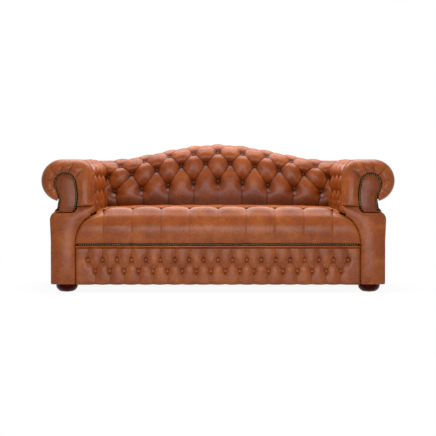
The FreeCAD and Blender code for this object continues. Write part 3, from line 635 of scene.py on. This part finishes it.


# pit_shade, line_shade and tuck_shade set how dark the painted shade is in the pits, along the
# folds and towards the tuck.
roll_relief = {
    "pit_reach": 0.22, "pit_shade": 0.92, "line_shade": 0.74,
    "pit": 0.023, "crease": 0.0050, "dome": 0.0045, "pleat": 0.0030, "pleat_dome": 0.0018,
    "depth": 0.046, "shift": 0.0, "first_wide": False, "fineness": 14, "side_relief": 1.0,
}
back_pad = {
    **roll_relief, "point": back_point, "reach": back_reach, "pitch": 0.160, "middle": 0.0,
    "rows": (0.120, 0.208, 0.292, 0.392, 0.500, 0.610), "last": 4.5, "start": 0.0,
    "end": profile_length(back_end_height) + roll_overlap, "edge_lines": (22, 34),
    "side_lines": 36, "side_fade": 0.6, "rims": ((0.012, 0.030), (0.010, 0.030), (0.018, 0.034)),
    "crown": crown_of_back, "tuck_shade": 0.64,
    "drift": ((0.020, 0.011, 0.0), (0.0, 0.020, 0.0), (0.0, 0.008, 0.024), (0.0, 0.006, 0.012),
              (0.0, 0.0, 0.0), (0.0, 0.0, 0.0)),
}
buttoned_pad("inside_back", "inside_back_pad", back_pad)

# %% The inside arms
arm_pitch, arm_first_column = 0.158, 0.092
arm_fullness, arm_full_share = 0.020, 0.4


def crown_of_arm(across, along):
    """The inside of an arm grows fuller towards the back corner."""
    lower = 1 - ease(along / (arm_height - tuck_height) - arm_full_share)
    return arm_fullness * ease((across - board_y) / (inner_y - board_y)) * lower


arm_pad = {
    **roll_relief, "point": arm_point, "reach": arm_reach, "pitch": arm_pitch,
    "middle": board_y + arm_first_column + arm_pitch * 1.5,
    "rows": (0.080, 0.170, 0.260, 0.362, 0.470, 0.580), "last": 1.5, "start": 0.0,
    "end": profile_length(arm_height) + roll_overlap, "edge_lines": (16, 34),
    "side_lines": 24, "side_fade": 1.0, "rims": ((0.003, 0.012), (0.005, 0.030), (0.018, 0.034)),
    "crown": crown_of_arm, "pit": 0.018, "dome": 0.018, "line_shade": 0.95, "tuck_shade": 0.30,
}
buttoned_pad("inside_arm_right", "inside_arm_pad_right", arm_pad)
buttoned_pad("inside_arm_left", "inside_arm_pad_left", arm_pad, flipped=True)

# %% [markdown]
# The seat is fuller in the middle than at its ends, as a sprung seat is. So the hide is lifted by
# a crown that falls away towards the arms and grows from the front edge backwards. Its front
# bulges and the edge above it is rounded.

# %% The seat
seat_crown, seat_crown_reach = 0.013, 0.10
seat_bulge, seat_bulge_run = 0.0137, seat_front_rise + seat_crown_run * 0.5
edge_rounding, edge_rounding_reach = 0.013, 0.050
front_rim, top_rim = (0.006, 0.020), (0.026, 0.090)
rim_change, rim_change_reach = seat_front_rise * 0.7, 0.08
seat_row_pitch = 0.128


def crown_of_seat(across, along):
    """How far the hide stands out from the seat's plain shape."""
    fullness = 1 - min(1.0, abs(across) / seat_half_width) ** 4
    level = seat_crown * fullness * ease((along - seat_front_rise) / seat_crown_reach)
    share = min(1.0, along / seat_bulge_run)
    level += seat_bulge * math.sin(math.pi * share) * (1 - share ** 4)
    return level - edge_rounding * math.exp(-((along - seat_bulge_run) / edge_rounding_reach) ** 2)


def seat_side_rim(along):
    """The seat's ends roll over more on top than down its front."""
    return mixed(front_rim, top_rim, ease((along - rim_change) / rim_change_reach))


seat_pad = {
    "point": seat_point, "reach": seat_reach, "pitch": 0.170, "middle": 0.0,
    "rows": tuple(seat_first_row + seat_row_pitch * k for k in range(4)), "last": 4.0,
    "start": 0.0, "end": seat_rear, "shift": 0.0, "first_wide": True, "depth": 0.052,
    "fineness": 16, "edge_lines": (48, 8), "side_lines": 20, "side_fade": 0.8, "side_relief": 1.0,
    "rims": (seat_side_rim, (0.007, 0.022), (0.010, 0.030)), "crown": crown_of_seat,
    "pit": 0.008, "crease": 0.0040, "dome": 0.0030, "pleat": 0.0032, "pleat_dome": 0.0016,
    "pit_reach": 0.14, "pit_shade": 0.40, "line_shade": 0.60,
}
buttoned_pad("seat", "seat_pad", seat_pad)

# %% The front border
border_pad = {
    "point": border_point, "reach": border_reach, "pitch": 0.0858, "middle": 0.0,
    "rows": (0.128, 0.195), "last": 9.0, "start": 0.048, "end": 0.269, "hem": 0.002,
    "shift": 0.5, "first_wide": False, "depth": 0.0236, "fineness": 8, "edge_lines": (12, 12),
    "side_lines": 10, "side_fade": 0.7, "side_relief": 0.15,
    "rims": ((0.006, 0.014), (0.007, 0.016), (0.005, 0.012)),
    "pit": 0.0075, "crease": 0.0035, "dome": 0.0055, "pleat": 0.0030, "pleat_dome": 0.0045,
    "pit_reach": 0.20, "pit_shade": 0.90, "line_shade": 0.62,
}
buttoned_pad("front_border_pad", "front_border", border_pad)

# %% [markdown]
# A covered button is a low dome of the same hide, pulled down until only its top shows. All those
# of one pad are one piece.

# %% Covered buttons
button_flatness = 0.62


def place_button(bm, base, tip, radius):
    """One covered button from its base towards its tip."""
    made = bmesh.ops.create_uvsphere(bm, u_segments=12, v_segments=7, radius=radius)["verts"]
    bmesh.ops.scale(bm, vec=(1, 1, button_flatness), verts=made)
    turn = (tip - base).to_track_quat("Z", "Y").to_matrix()
    bmesh.ops.rotate(bm, cent=(0, 0, 0), matrix=turn, verts=made)
    bmesh.ops.translate(bm, vec=base, verts=made)


def pad_buttons(name, node, pad, radius, rise, tone_level, flipped=False):
    """The buttons of one pad, each standing a little way out of its pit."""
    bm = bmesh.new()
    for index, along in enumerate(pad["rows"]):
        wide = (index % 2 == 0) == pad["first_wide"]
        last = pad["last"] if wide else pad["last"] - 0.5
        for k in range(round(2 * last) + 1):
            column, line = (k - last, 0.0), (index, along, 0.0, 0.0)
            across, run, _ = spot(pad, column, line, 0.0)
            seat = rise - pad["pit"] - pad["crease"] - pad["dome"] + crown(pad, across, run)
            place_button(bm, pad["point"](across, run, seat), pad["point"](across, run, seat + 1),
                         radius)
    set_tone_level(bm, tone_level)
    if flipped:
        bmesh.ops.scale(bm, vec=(-1, 1, 1), verts=bm.verts)
    finish_piece(bm, name, hide, [node])


# Tone levels below 1 are painted shade: the buttons sunk in the back's and the arms' pits are
# darkest, the seat's a little darker, the border's keep their full colour.
deep_stud = {"radius": 0.0115, "rise": 0.003, "tone_level": 0.20}
seat_stud = {"radius": 0.0115, "rise": 0.004, "tone_level": 0.70}
border_stud = {"radius": 0.0108, "rise": 0.008, "tone_level": 1.0}
pad_buttons("inside_back_studs", "back_buttons", back_pad, **deep_stud)
pad_buttons("inside_arm_studs_right", "arm_buttons_right", arm_pad, **deep_stud)
pad_buttons("inside_arm_studs_left", "arm_buttons_left", arm_pad, **deep_stud, flipped=True)
pad_buttons("seat_studs", "seat_buttons", seat_pad, **seat_stud)
pad_buttons("front_border_studs", "front_border_buttons", border_pad, **border_stud)

# %% [markdown]
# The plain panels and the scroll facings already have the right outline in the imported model, but
# their edges are hard and their faces flat. A merged copy of each is rebuilt from small cubes by
# Remesh, its broad face is swollen, and smoothing rounds its edges as wadding under leather does.
# The side line gives the height and half width of points down a side panel's outer edge.


# %% Softened copies of plain panels
facing_limit, side_fullness, end_fullness = 0.9, 2.4, 8
hem_drop, hem_height, hem_reach = 0.006, 0.053, 0.02
hem_front, hem_front_reach = -half_depth + 0.046, 0.008
side_line = ((0.050, 0.9950), (0.350, 0.9945), (0.440, 0.9910), (0.455, 0.9885),
             (0.466, 0.9840), (0.474, 0.9770), (0.479, 0.9680), (0.485, 0.9600))
side_inset, side_level, side_margin = 0.93, 0.006, 0.01
backing = 0.006
weld, flat_angle, sharp_angle = 0.00002, math.radians(2), math.radians(50)


def merged_copy(node):
    """A bmesh of a CAD node with its triangles joined into flat faces."""
    bm = bmesh.new()
    bm.from_mesh(frame["nodes"][node].data)
    bmesh.ops.remove_doubles(bm, verts=bm.verts, dist=weld)
    bmesh.ops.dissolve_limit(bm, angle_limit=flat_angle, verts=bm.verts, edges=bm.edges)
    return bm


def even_mesh(node, voxel):
    """A copy of a CAD node, remeshed into even small squares."""
    source = new_object("remesh_source", mesh_of(merged_copy(node), "remesh_source"))
    remesh = source.modifiers.new("even", "REMESH")
    remesh.mode = "VOXEL"
    remesh.voxel_size = voxel
    depsgraph = bpy.context.evaluated_depsgraph_get()
    fresh = bmesh.new()
    fresh.from_mesh(bpy.data.meshes.new_from_object(source.evaluated_get(depsgraph)))
    bpy.data.objects.remove(source)
    return fresh


def swell_face(bm, out, across, rise, voxel, pair):
    """Raise the face that looks one way, most along the middle of each level."""
    def level_of(v):
        return round(v.co.z / voxel), pair and v.co.x > 0

    facing = [v for v in bm.verts if v.normal.dot(out) > facing_limit]
    spans = {}
    for v in facing:
        place = v.co.dot(across)
        low, high = spans.get(level_of(v), (place, place))
        spans[level_of(v)] = min(low, place), max(high, place)
    bottom = min(v.co.z for v in facing)
    top = max(v.co.z for v in facing)
    for v in facing:
        low, high = spans[level_of(v)]
        u = 2 * (v.co.dot(across) - low) / max(voxel, high - low) - 1
        w = 2 * (v.co.z - bottom) / (top - bottom) - 1
        v.co += out * (rise * (1 - abs(u) ** side_fullness) * (1 - abs(w) ** end_fullness))


def straight_side(bm):
    """Bring a panel's outer side to the nearly upright line of its padding."""
    levels = {}
    for v in bm.verts:
        key = round(v.co.z / side_level)
        levels[key] = max(levels.get(key, 0.0), abs(v.co.x))
    for v in bm.verts:
        x, z, reach = abs(v.co.x), v.co.z, levels[round(v.co.z / side_level)]
        for (low, near), (high, far) in zip(side_line, side_line[1:]):
            if x > side_inset and low - side_margin < z <= high:
                wanted = near + (far - near) * max(0.0, (z - low) / (high - low))
                x = side_inset + (x - side_inset) * (wanted - side_inset) / (reach - side_inset)
                v.co.x = math.copysign(x, v.co.x)
                break


def beside_seat(bm):
    """Lower the front panels' hems, and fit their inner edges to the seat's front."""
    straight_side(bm)
    for v in bm.verts:
        front = ease((hem_front - v.co.y) / hem_front_reach)
        v.co.z -= hem_drop * (1 - ease((v.co.z - hem_height) / hem_reach)) * front
        along = v.co.z - seat_base_height
        packed = max(inner_x, corner_reach(along, packed_spread))
        wanted = max(inner_x, corner_reach(along, seat_spread))
        share = (half_width - abs(v.co.x)) / (half_width - packed)
        v.co.x += math.copysign((wanted - packed) * min(1.0, share), v.co.x)


def soft_panel(name, node, out, voxel, rounds, rise, pair=False, fitted=None, tone_level=1.0):
    """A leather-covered panel with rounded edges and a swelling face."""
    bm = even_mesh(node, voxel)
    if fitted:
        fitted(bm)
    out, across = Vector(out), Vector((abs(out[1]), abs(out[0]), 0))
    bm.normal_update()
    swell_face(bm, out, across, rise, voxel, pair)
    inmost = min(v.co.dot(out) for v in bm.verts) + backing
    loose = [v for v in bm.verts if v.co.dot(out) > inmost]
    for _ in range(rounds):
        bmesh.ops.smooth_vert(
            bm, verts=loose, factor=0.5, use_axis_x=True, use_axis_y=True, use_axis_z=True)
    set_tone_level(bm, tone_level)
    piece = finish_piece(bm, name, hide, [node])


front, rear, right, left = (0, -1, 0), (0, 1, 0), (1, 0, 0), (-1, 0, 0)
outside_arm = {"voxel": 0.006, "rounds": 2, "rise": 0.003, "fitted": straight_side}
# The facings are evenly darkened to a tone level of 0.52; the other panels keep their full colour.
soft_panel("scroll_facing_pads", "scroll_facings", front, voxel=0.0030, rounds=6, rise=0.008,
           pair=True, tone_level=0.52)
soft_panel("arm_front_panel_pads", "arm_front_panels", front, voxel=0.0036, rounds=20, rise=0.013,
           pair=True, fitted=beside_seat)
soft_panel("outside_back_pad", "outside_back_panel", rear, voxel=0.008, rounds=2, rise=0.008)
soft_panel("outside_arm_pad_right", "outside_arm_panel_right", right, **outside_arm)
soft_panel("outside_arm_pad_left", "outside_arm_panel_left", left, **outside_arm)


# %% The rolled lip
# The lip is evenly darkened a little, to a tone level of 0.9.
lip_drop, lip_round, lip_tone_level = 0.0038, 0.002, 0.9


def rounded_lip():
    """The narrow rolled lip under the seat's front."""
    bm = merged_copy("seat_front_lip")
    low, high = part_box("seat_front_lip")
    for v in bm.verts:
        v.co.z -= lip_drop * (v.co.z - low.z) / (high.z - low.z)
    edges = [e for e in bm.edges if e.is_manifold and e.calc_face_angle(0) > sharp_angle]
    bmesh.ops.bevel(
        bm, geom=edges, offset=lip_round, segments=3, profile=0.5, affect="EDGES", material=-1,
        clamp_overlap=True)
    bmesh.ops.triangulate(bm, faces=bm.faces)
    set_tone_level(bm, lip_tone_level)
    finish_piece(bm, "seat_front_roll", hide, ["seat_front_lip"])


rounded_lip()

# %% [markdown]
# Round each scroll facing the hide is gathered into a puffed border. Pleats run out from the
# facing to the arm's rounded edge. The inner line is read from the facing itself, so the border
# always meets it.


# %% The facing's outline
hair = 0.0005


def facing_outline():
    """The right facing's outline seen from the front, from its inner foot over the head."""
    bm = merged_copy("scroll_facings")
    face = max(
        (f for f in bm.faces if f.normal.y < -0.99 and f.calc_center_median().x > 0),
        key=lambda f: f.calc_area())
    points = [Vector((v.co.x, v.co.z)) for v in face.verts]
    bm.free()
    low = min(p.y for p in points)
    feet = sorted((p for p in points if p.y < low + hair), key=lambda p: p.x)
    start = points.index(feet[0])
    onward = points[start:] + points[:start]
    if onward[1] is feet[-1]:
        onward[1:] = onward[:0:-1]
    return onward


outline = facing_outline()
lengths = [0.0]
for first, second in zip(outline, outline[1:]):
    lengths.append(lengths[-1] + (second - first).length)


def point_at(distance):
    """The point at a distance along the outline, and the line's direction there."""
    for a, b, low, high in zip(outline, outline[1:], lengths, lengths[1:]):
        if distance <= high or b is outline[-1]:
            share = (distance - low) / (high - low)
            return a.lerp(b, min(1.0, max(0.0, share))), (b - a).normalized()


def add_mirror_image(bm):
    """Add the mirror image of everything, for the left arm."""
    bmesh.ops.mirror(bm, geom=bm.verts[:] + bm.edges[:] + bm.faces[:], axis="X", merge_dist=-1)


# %% The puffed border round each facing
ring_seam_height, ring_end_height = 0.517, 0.575
head_centre = Vector((roll_x - 0.020, arm_height - roll_radius - 0.020))
pleat_degrees = (150.0, 108.0, 75.0, 48.0, 14.0, -26.0)
pleat_shares = (0.363, 0.461, 0.551, 0.675, 0.787, 0.895, 1.0)
ring_cells, ring_lines = 24, 30
ring_crest, ring_crest_power = 0.36, 0.8
ring_front, ring_back = -half_depth + 0.0006, board_y - 0.0001
ring_fold, ring_dome = 0.006, 0.002
ring_gap = 0.001
ring_fade_in, ring_fade_out, ring_fade_reach, ring_end_fade = 0.10, 0.35, 0.6, 0.5
# ring_shade is painted shade along the border's pleats; ring_back_tone is painted shade on the
# border's back rim.
ring_shade, ring_back_tone = 0.85, 0.3


def ring_stations():
    """Pairs of a distance along the arm's outline and one along the facing's."""
    def nearest(test):
        return min(zip(lengths, outline), key=lambda pair: test(pair[1]))[0]

    inside = [t for t, p in zip(lengths, outline) if p.x < head_centre.x]
    inner = [min(inside, key=lambda t: abs(point_at(t)[0].y - ring_seam_height))]
    for turn in map(math.radians, pleat_degrees):
        ray = Vector((math.cos(turn), math.sin(turn)))
        inner.append(nearest(lambda p: -(p - head_centre).normalized().dot(ray)))
    inner.append(nearest(lambda p: abs(p.y - ring_end_height) + (p.x < head_centre.x)))
    outer = [ring_seam_height - tuck_height]
    outer += [profile_length(arm_height) * share for share in pleat_shares]
    return list(zip(outer, inner))


def ring_place(stations, cell, share, reach):
    """A point of the right arm's border, and how open the hide lies there."""
    along, distance = mixed(stations[cell], stations[cell + 1], share)
    (out, height), _ = rolled_profile(along, arm_height)
    rim = Vector((inner_x + out, height))
    at, heading = point_at(distance)
    side = Vector((-heading.y, heading.x))
    if side.dot(rim - at) < 0:
        side = -side
    place = (at + side * ring_gap).lerp(rim, reach)
    if reach < ring_crest:
        full = math.sin(math.pi / 2 * reach / ring_crest) ** ring_crest_power
        y = facing_y + (ring_front - facing_y) * full
    else:
        full = (1 - ((reach - ring_crest) / (1 - ring_crest)) ** 2) ** 0.5
        y = board_y + (ring_front - board_y) * full
    beside = swell(min(share, 1 - share))
    fade = ease(reach / ring_fade_in) * (1 - ease((reach - ring_fade_out) / ring_fade_reach))
    if cell + share in (0, len(pleat_shares)):
        fade *= ring_end_fade
    open_share = beside ** fold_sharpness
    y += (ring_fold * (1 - open_share) + ring_dome * (1 - beside)) * fade
    return Vector((place.x, y, place.y)), 1 - ring_shade * (1 - open_share) * fade


def border_ring():
    """The puffed border of the right arm and its mirror image."""
    stations = ring_stations()
    bm = new_bmesh()
    fold = bm.verts.layers.float["fold"]
    cells = len(pleat_shares)
    across = cells * ring_cells
    made = bmesh.ops.create_grid(bm, x_segments=across, y_segments=ring_lines, size=1.0)["verts"]
    for v in made:
        i = round((v.co.x + 1) / 2 * across)
        reach = (v.co.y + 1) / 2
        cell = min(cells - 1, i // ring_cells)
        v.co, v[fold] = ring_place(stations, cell, i / ring_cells - cell, reach)
    rims = bmesh.ops.extrude_edge_only(bm, edges=[e for e in bm.edges if e.is_boundary])
    for v in rims["geom"]:
        if isinstance(v, bmesh.types.BMVert):
            v.co.y, v[fold] = ring_back, ring_back_tone
    bmesh.ops.contextual_create(bm, geom=[e for e in bm.edges if e.is_boundary])
    bmesh.ops.triangulate(bm, faces=[f for f in bm.faces if len(f.verts) > 4])
    bmesh.ops.remove_doubles(bm, verts=bm.verts, dist=weld)
    add_mirror_image(bm)
    piece = finish_piece(bm, "arm_front_border_pads", hide, ["arm_front_borders"])


border_ring()

# %% [markdown]
# Rows of domed nails close the seams: round each facing and along the front under the seat. The
# metal is an aged bronze. Painted shade makes each nail nearly black at its rim and on its band,
# so that only its top shows bright, as a painted highlight.


# %% Aged bronze
def make_bronze():
    """Aged bronze, which the fold value darkens with painted shade."""
    material, tree, shader = new_material("aged_bronze")
    tarnish = noise_pattern(tree, 160.0, 4.0, 0.6)
    colour = ramp(tree, tarnish, (0.3, (0.34, 0.20, 0.12)), (0.7, (0.56, 0.34, 0.21)))
    shade = ramp(tree, fold_value(tree), (0.0, (0.006, 0.004, 0.003)), (1.0, (1.0, 1.0, 1.0)))
    tune(shader, Base_Color=multiplied(tree, 1.0, colour, shade), Metallic=0.9,
         Roughness=scaled(tree, tarnish, 0.22, 0.36), Specular_Tint=(0.25, 0.20, 0.15, 1.0))
    return material


bronze = make_bronze()
nail_radius, nail_pitch, nail_height = 0.0050, 0.0133, 0.0030
band_width, band_depth, nail_shade_power = 0.0116, 0.004, 8
neck_height = head_centre.y - 0.03


def lay_band(bm, stations, front_y, rear_y):
    """A flat band along (place, side) pairs, as a closed bar with four corners, left nearly black
    by painted shade.
    """
    made = bmesh.ops.create_grid(bm, x_segments=len(stations) - 1, y_segments=4, size=1.0)["verts"]
    corners = ((0.0, front_y), (band_width, front_y), (band_width, rear_y), (0.0, rear_y))
    for v in made:
        place, side = stations[round((v.co.x + 1) / 2 * (len(stations) - 1))]
        reach, y = corners[round((v.co.y + 1) * 2) % 4]
        at = place + side * reach
        v.co = Vector((at.x, y, at.y))
    bmesh.ops.remove_doubles(bm, verts=made, dist=weld)
    bmesh.ops.holes_fill(bm, edges=[e for e in bm.edges if e.is_boundary], sides=4)


def place_nail(bm, place):
    """One domed nail head that faces the front."""
    fold = bm.verts.layers.float["fold"]
    made = bmesh.ops.create_uvsphere(bm, u_segments=8, v_segments=6, radius=nail_radius)["verts"]
    bmesh.ops.scale(bm, vec=(1, nail_height / nail_radius, 1), verts=made)
    for v in made:
        # Painted highlight and shade: full colour at the head's tip, nearly black towards its rim.
        v[fold] = max(0.0, -v.co.y / nail_height) ** nail_shade_power
    bmesh.ops.translate(bm, vec=place, verts=made)


# %% Nails round the facings
def facing_nails():
    """Nails up both sides and over the top of each facing."""
    bm = new_bmesh()
    band_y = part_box("facing_nail_strips")[0].y
    length = max(t for t, p in zip(lengths, outline) if p.y > outline[0].y + hair)
    count = round(length / nail_pitch)
    stations = []
    for k in range(count + 1):
        at, heading = point_at(length * k / count)
        if k == count:
            heading = point_at(length - nail_pitch)[1]
        side, inward = Vector((heading.y, -heading.x)), head_centre - at
        if at.y <= neck_height:
            inward.y = 0.0
        stations.append((at, side if side.dot(inward) > 0 else -side))
    lay_band(bm, stations, band_y, facing_y + band_depth)
    for at, side in stations[1:-1]:
        middle = at + side * band_width / 2
        place_nail(bm, Vector((middle.x, band_y, middle.y)))
    add_mirror_image(bm)
    finish_piece(bm, "facing_nails", bronze, ["facing_nail_strips"])


facing_nails()


# %% Nails under the seat
def seat_nails():
    """The long row of nails under the seat's front."""
    low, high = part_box("front_nail_strip")
    count = round((high.x - low.x) / nail_pitch)
    bm = new_bmesh()
    base = low.z - lip_drop
    stations = [(Vector((x, base)), Vector((0, 1))) for x in (low.x, high.x)]
    lay_band(bm, stations, low.y, high.y)
    for k in range(1, count):
        x = low.x + (high.x - low.x) * k / count
        place_nail(bm, Vector((x, low.y, base + band_width / 2)))
    finish_piece(bm, "seat_front_nails", bronze, ["front_nail_strip"])


seat_nails()

# %% [markdown]
# The bun feet are turned on a lathe, so a profile is spun round each foot's middle. They are dark
# red mahogany under lacquer.


# %% Mahogany and the frame's timber
def make_timber(name, dark, light, roughness, **lacquer):
    """Wood with a wavy grain, bare or lacquered."""
    material, tree, shader = new_material(name)
    wave = pattern(tree, "ShaderNodeTexWave", Scale=38.0, Distortion=5.0, Detail=4.0)
    grain = wave.outputs["Fac"]
    tune(shader, Base_Color=ramp(tree, grain, (0.15, dark), (0.85, light)),
         Normal=bump(tree, grain, 0.0002, 0.3),
         Roughness=scaled(tree, grain, roughness, roughness + 0.12), **lacquer)
    return material


mahogany = make_timber("dark_mahogany", (0.006, 0.0005, 0.0004), (0.020, 0.0014, 0.0008), 0.25,
                       Specular_IOR_Level=0.3, Specular_Tint=(0.7, 0.07, 0.04, 1.0))
beech = make_timber("frame_beech", (0.46, 0.30, 0.17), (0.66, 0.48, 0.30), 0.6)

# %% The turned bun feet
foot_radius, foot_top = 0.0655, 0.053


def bun_feet():
    """Four turned feet, each standing on its glide."""
    bm = bmesh.new()
    profile = ((0.0, 0.003), (0.036, 0.003), (0.044, 0.006), (0.054, 0.014), (0.0625, 0.026),
               (foot_radius, 0.037), (0.0635, 0.046), (0.0585, foot_top), (0.0, foot_top))
    low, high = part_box("bun_feet")
    for x in (low.x + foot_radius, high.x - foot_radius):
        for y in (low.y + foot_radius, high.y - foot_radius):
            verts = [bm.verts.new((x + r, y, z)) for r, z in profile]
            edges = [bm.edges.new(pair) for pair in zip(verts, verts[1:])]
            bmesh.ops.spin(
                bm, geom=verts + edges, cent=(x, y, 0), axis=(0, 0, 1), dvec=(0, 0, 0),
                angle=math.tau, steps=48, use_merge=True, use_normal_flip=False)
    bmesh.ops.remove_doubles(bm, verts=bm.verts, dist=weld)
    finish_piece(bm, "turned_feet", mahogany, ["bun_feet"])


bun_feet()

# %% [markdown]
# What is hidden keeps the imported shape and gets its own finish: beech rails, jute webbing,
# hessian, a cotton-covered core, black cloth underneath, plastic glides and plated bolts.


# %% Finishes of the hidden pieces
def make_weave(name, dark, light, pitch):
    """A plain weave of crossing threads."""
    material, tree, shader = new_material(name)
    warp, weft = [
        pattern(tree, "ShaderNodeTexWave", Scale=pitch, Distortion=0.6, bands_direction=axis)
        for axis in ("X", "Y")]
    woven = joined(tree, "MULTIPLY", warp.outputs["Fac"], weft.outputs["Fac"])
    tune(shader, Base_Color=ramp(tree, woven, (0.05, dark), (0.6, light)), Roughness=0.9,
         Normal=bump(tree, woven, 0.0006, 0.5))
    return material


def make_plain(name, dark, light, roughness, metallic):
    """A plain finish with slight variation."""
    material, tree, shader = new_material(name)
    variation = noise_pattern(tree, 120.0, 3.0)
    tune(shader, Base_Color=ramp(tree, variation, (0.3, dark), (0.7, light)), Metallic=metallic,
         Roughness=scaled(tree, variation, roughness, roughness + 0.1))
    return material


finishes = {
    "frame_wood": beech,
    "webbing": make_weave("jute_webbing", (0.25, 0.18, 0.10), (0.52, 0.42, 0.28), 160.0),
    "hessian": make_weave("hessian_cloth", (0.30, 0.22, 0.13), (0.58, 0.47, 0.32), 110.0),
    "stuffing": make_weave("cotton_core", (0.66, 0.62, 0.53), (0.84, 0.80, 0.71), 260.0),
    "dust_cloth": make_weave("black_cloth", (0.008, 0.008, 0.008), (0.03, 0.03, 0.03), 300.0),
    "glides": make_plain("glide_plastic", (0.03, 0.03, 0.03), (0.06, 0.06, 0.06), 0.5, 0.0),
    "bolts": make_plain("plated_steel", (0.45, 0.45, 0.46), (0.62, 0.62, 0.63), 0.3, 1.0),
}
for part in frame["record"]["subparts"]:
    finish = finishes.get(part["material_slot"])
    if finish:
        mesh = frame["nodes"][part["node"]].data
        mesh.materials.clear()
        mesh.materials.append(finish)

# %% [markdown]
# The sofa stands on a pale floor that fades into a white background. To the camera and in
# reflections the floor is mostly plain white, with only a faint shadow left in it. Three overhead
# lamps share one place and grow in size, so that the shine on the pads' tops has a soft edge. A
# weaker lamp in front fills the rest.


# %% Floor and background
def seen_directly(tree):
    """1 for what the camera, a reflection or glass shows, and 0 for light on the object."""
    path = tree.nodes.new("ShaderNodeLightPath")
    total = path.outputs["Is Camera Ray"]
    for name in ("Is Glossy Ray", "Is Transmission Ray"):
        total = joined(tree, "ADD", total, path.outputs[name])
    return total


def make_floor():
    """A pale floor that shows as nearly white."""
    bm = bmesh.new()
    bmesh.ops.create_grid(bm, x_segments=2, y_segments=2, size=14.0)
    floor = new_object("studio_floor", mesh_of(bm, "studio_floor"))
    material, tree, shader = new_material("pale_floor")
    tune(shader, Base_Color=(0.86, 0.86, 0.86, 1), Roughness=0.8)
    glow = add(tree, "ShaderNodeEmission", Strength=1.0)
    distance = pattern(tree, "ShaderNodeVectorMath", operation="LENGTH").outputs["Value"]
    far = add(tree, "ShaderNodeMapRange", Value=distance, From_Min=1.2, From_Max=3.0,
              To_Min=0.93, To_Max=1.0)
    share = joined(tree, "MULTIPLY", seen_directly(tree), far.outputs["Result"])
    blend = tree.nodes.new("ShaderNodeMixShader")
    for source, socket in zip((share, shader.outputs[0], glow.outputs[0]), blend.inputs):
        tree.links.new(source, socket)
    tune(tree.nodes["Material Output"], Surface=blend.outputs[0])
    floor.data.materials.append(material)


def make_world():
    """A soft sky for the light, white to the camera and in reflections."""
    world = bpy.data.worlds.new("studio")
    bpy.context.scene.world = world
    world.use_nodes = True
    tree = world.node_tree
    tune(tree.nodes["Background"], Color=(1, 1, 1, 1),
         Strength=scaled(tree, seen_directly(tree), 0.22, 1.0))


def add_lamp(name, place, target, size, power):
    """A square soft lamp aimed at a point."""
    data = bpy.data.lights.new(name, "AREA")
    data.shape = "RECTANGLE"
    data.size, data.size_y = size
    data.energy = power
    lamp = new_object(name, data)
    lamp.location = place
    lamp.rotation_euler = (Vector(target) - Vector(place)).to_track_quat("-Z", "Y").to_euler()


make_floor()
make_world()
for layer, (size, power) in enumerate(((2.4, 120), (3.2, 90), (4.0, 45))):
    add_lamp(f"overhead_lamp_{layer}", (0.0, 0.0, 2.7), (0, 0, 0.4), (size, size), power)
add_lamp("front_lamp", (0.0, -4.0, 0.42), (0, 0, 0.35), (2.6, 0.84), 43)

# %% [markdown]
# The camera stands straight in front, a little above the seat, with a long lens. So the arms'
# fronts and the back show almost the same width, as in a catalogue picture.

# %% Camera
camera_data = bpy.data.cameras.new("camera")
camera_data.sensor_width = 36.0
camera_data.lens = 84.0
camera = new_object("camera", camera_data)
camera.location = (0.0, -6.47, 0.574)
camera.rotation_euler = (math.radians(90 - 1.24), 0, 0)
bpy.context.scene.camera = camera
bpy.context.scene.view_settings.view_transform = "Standard"
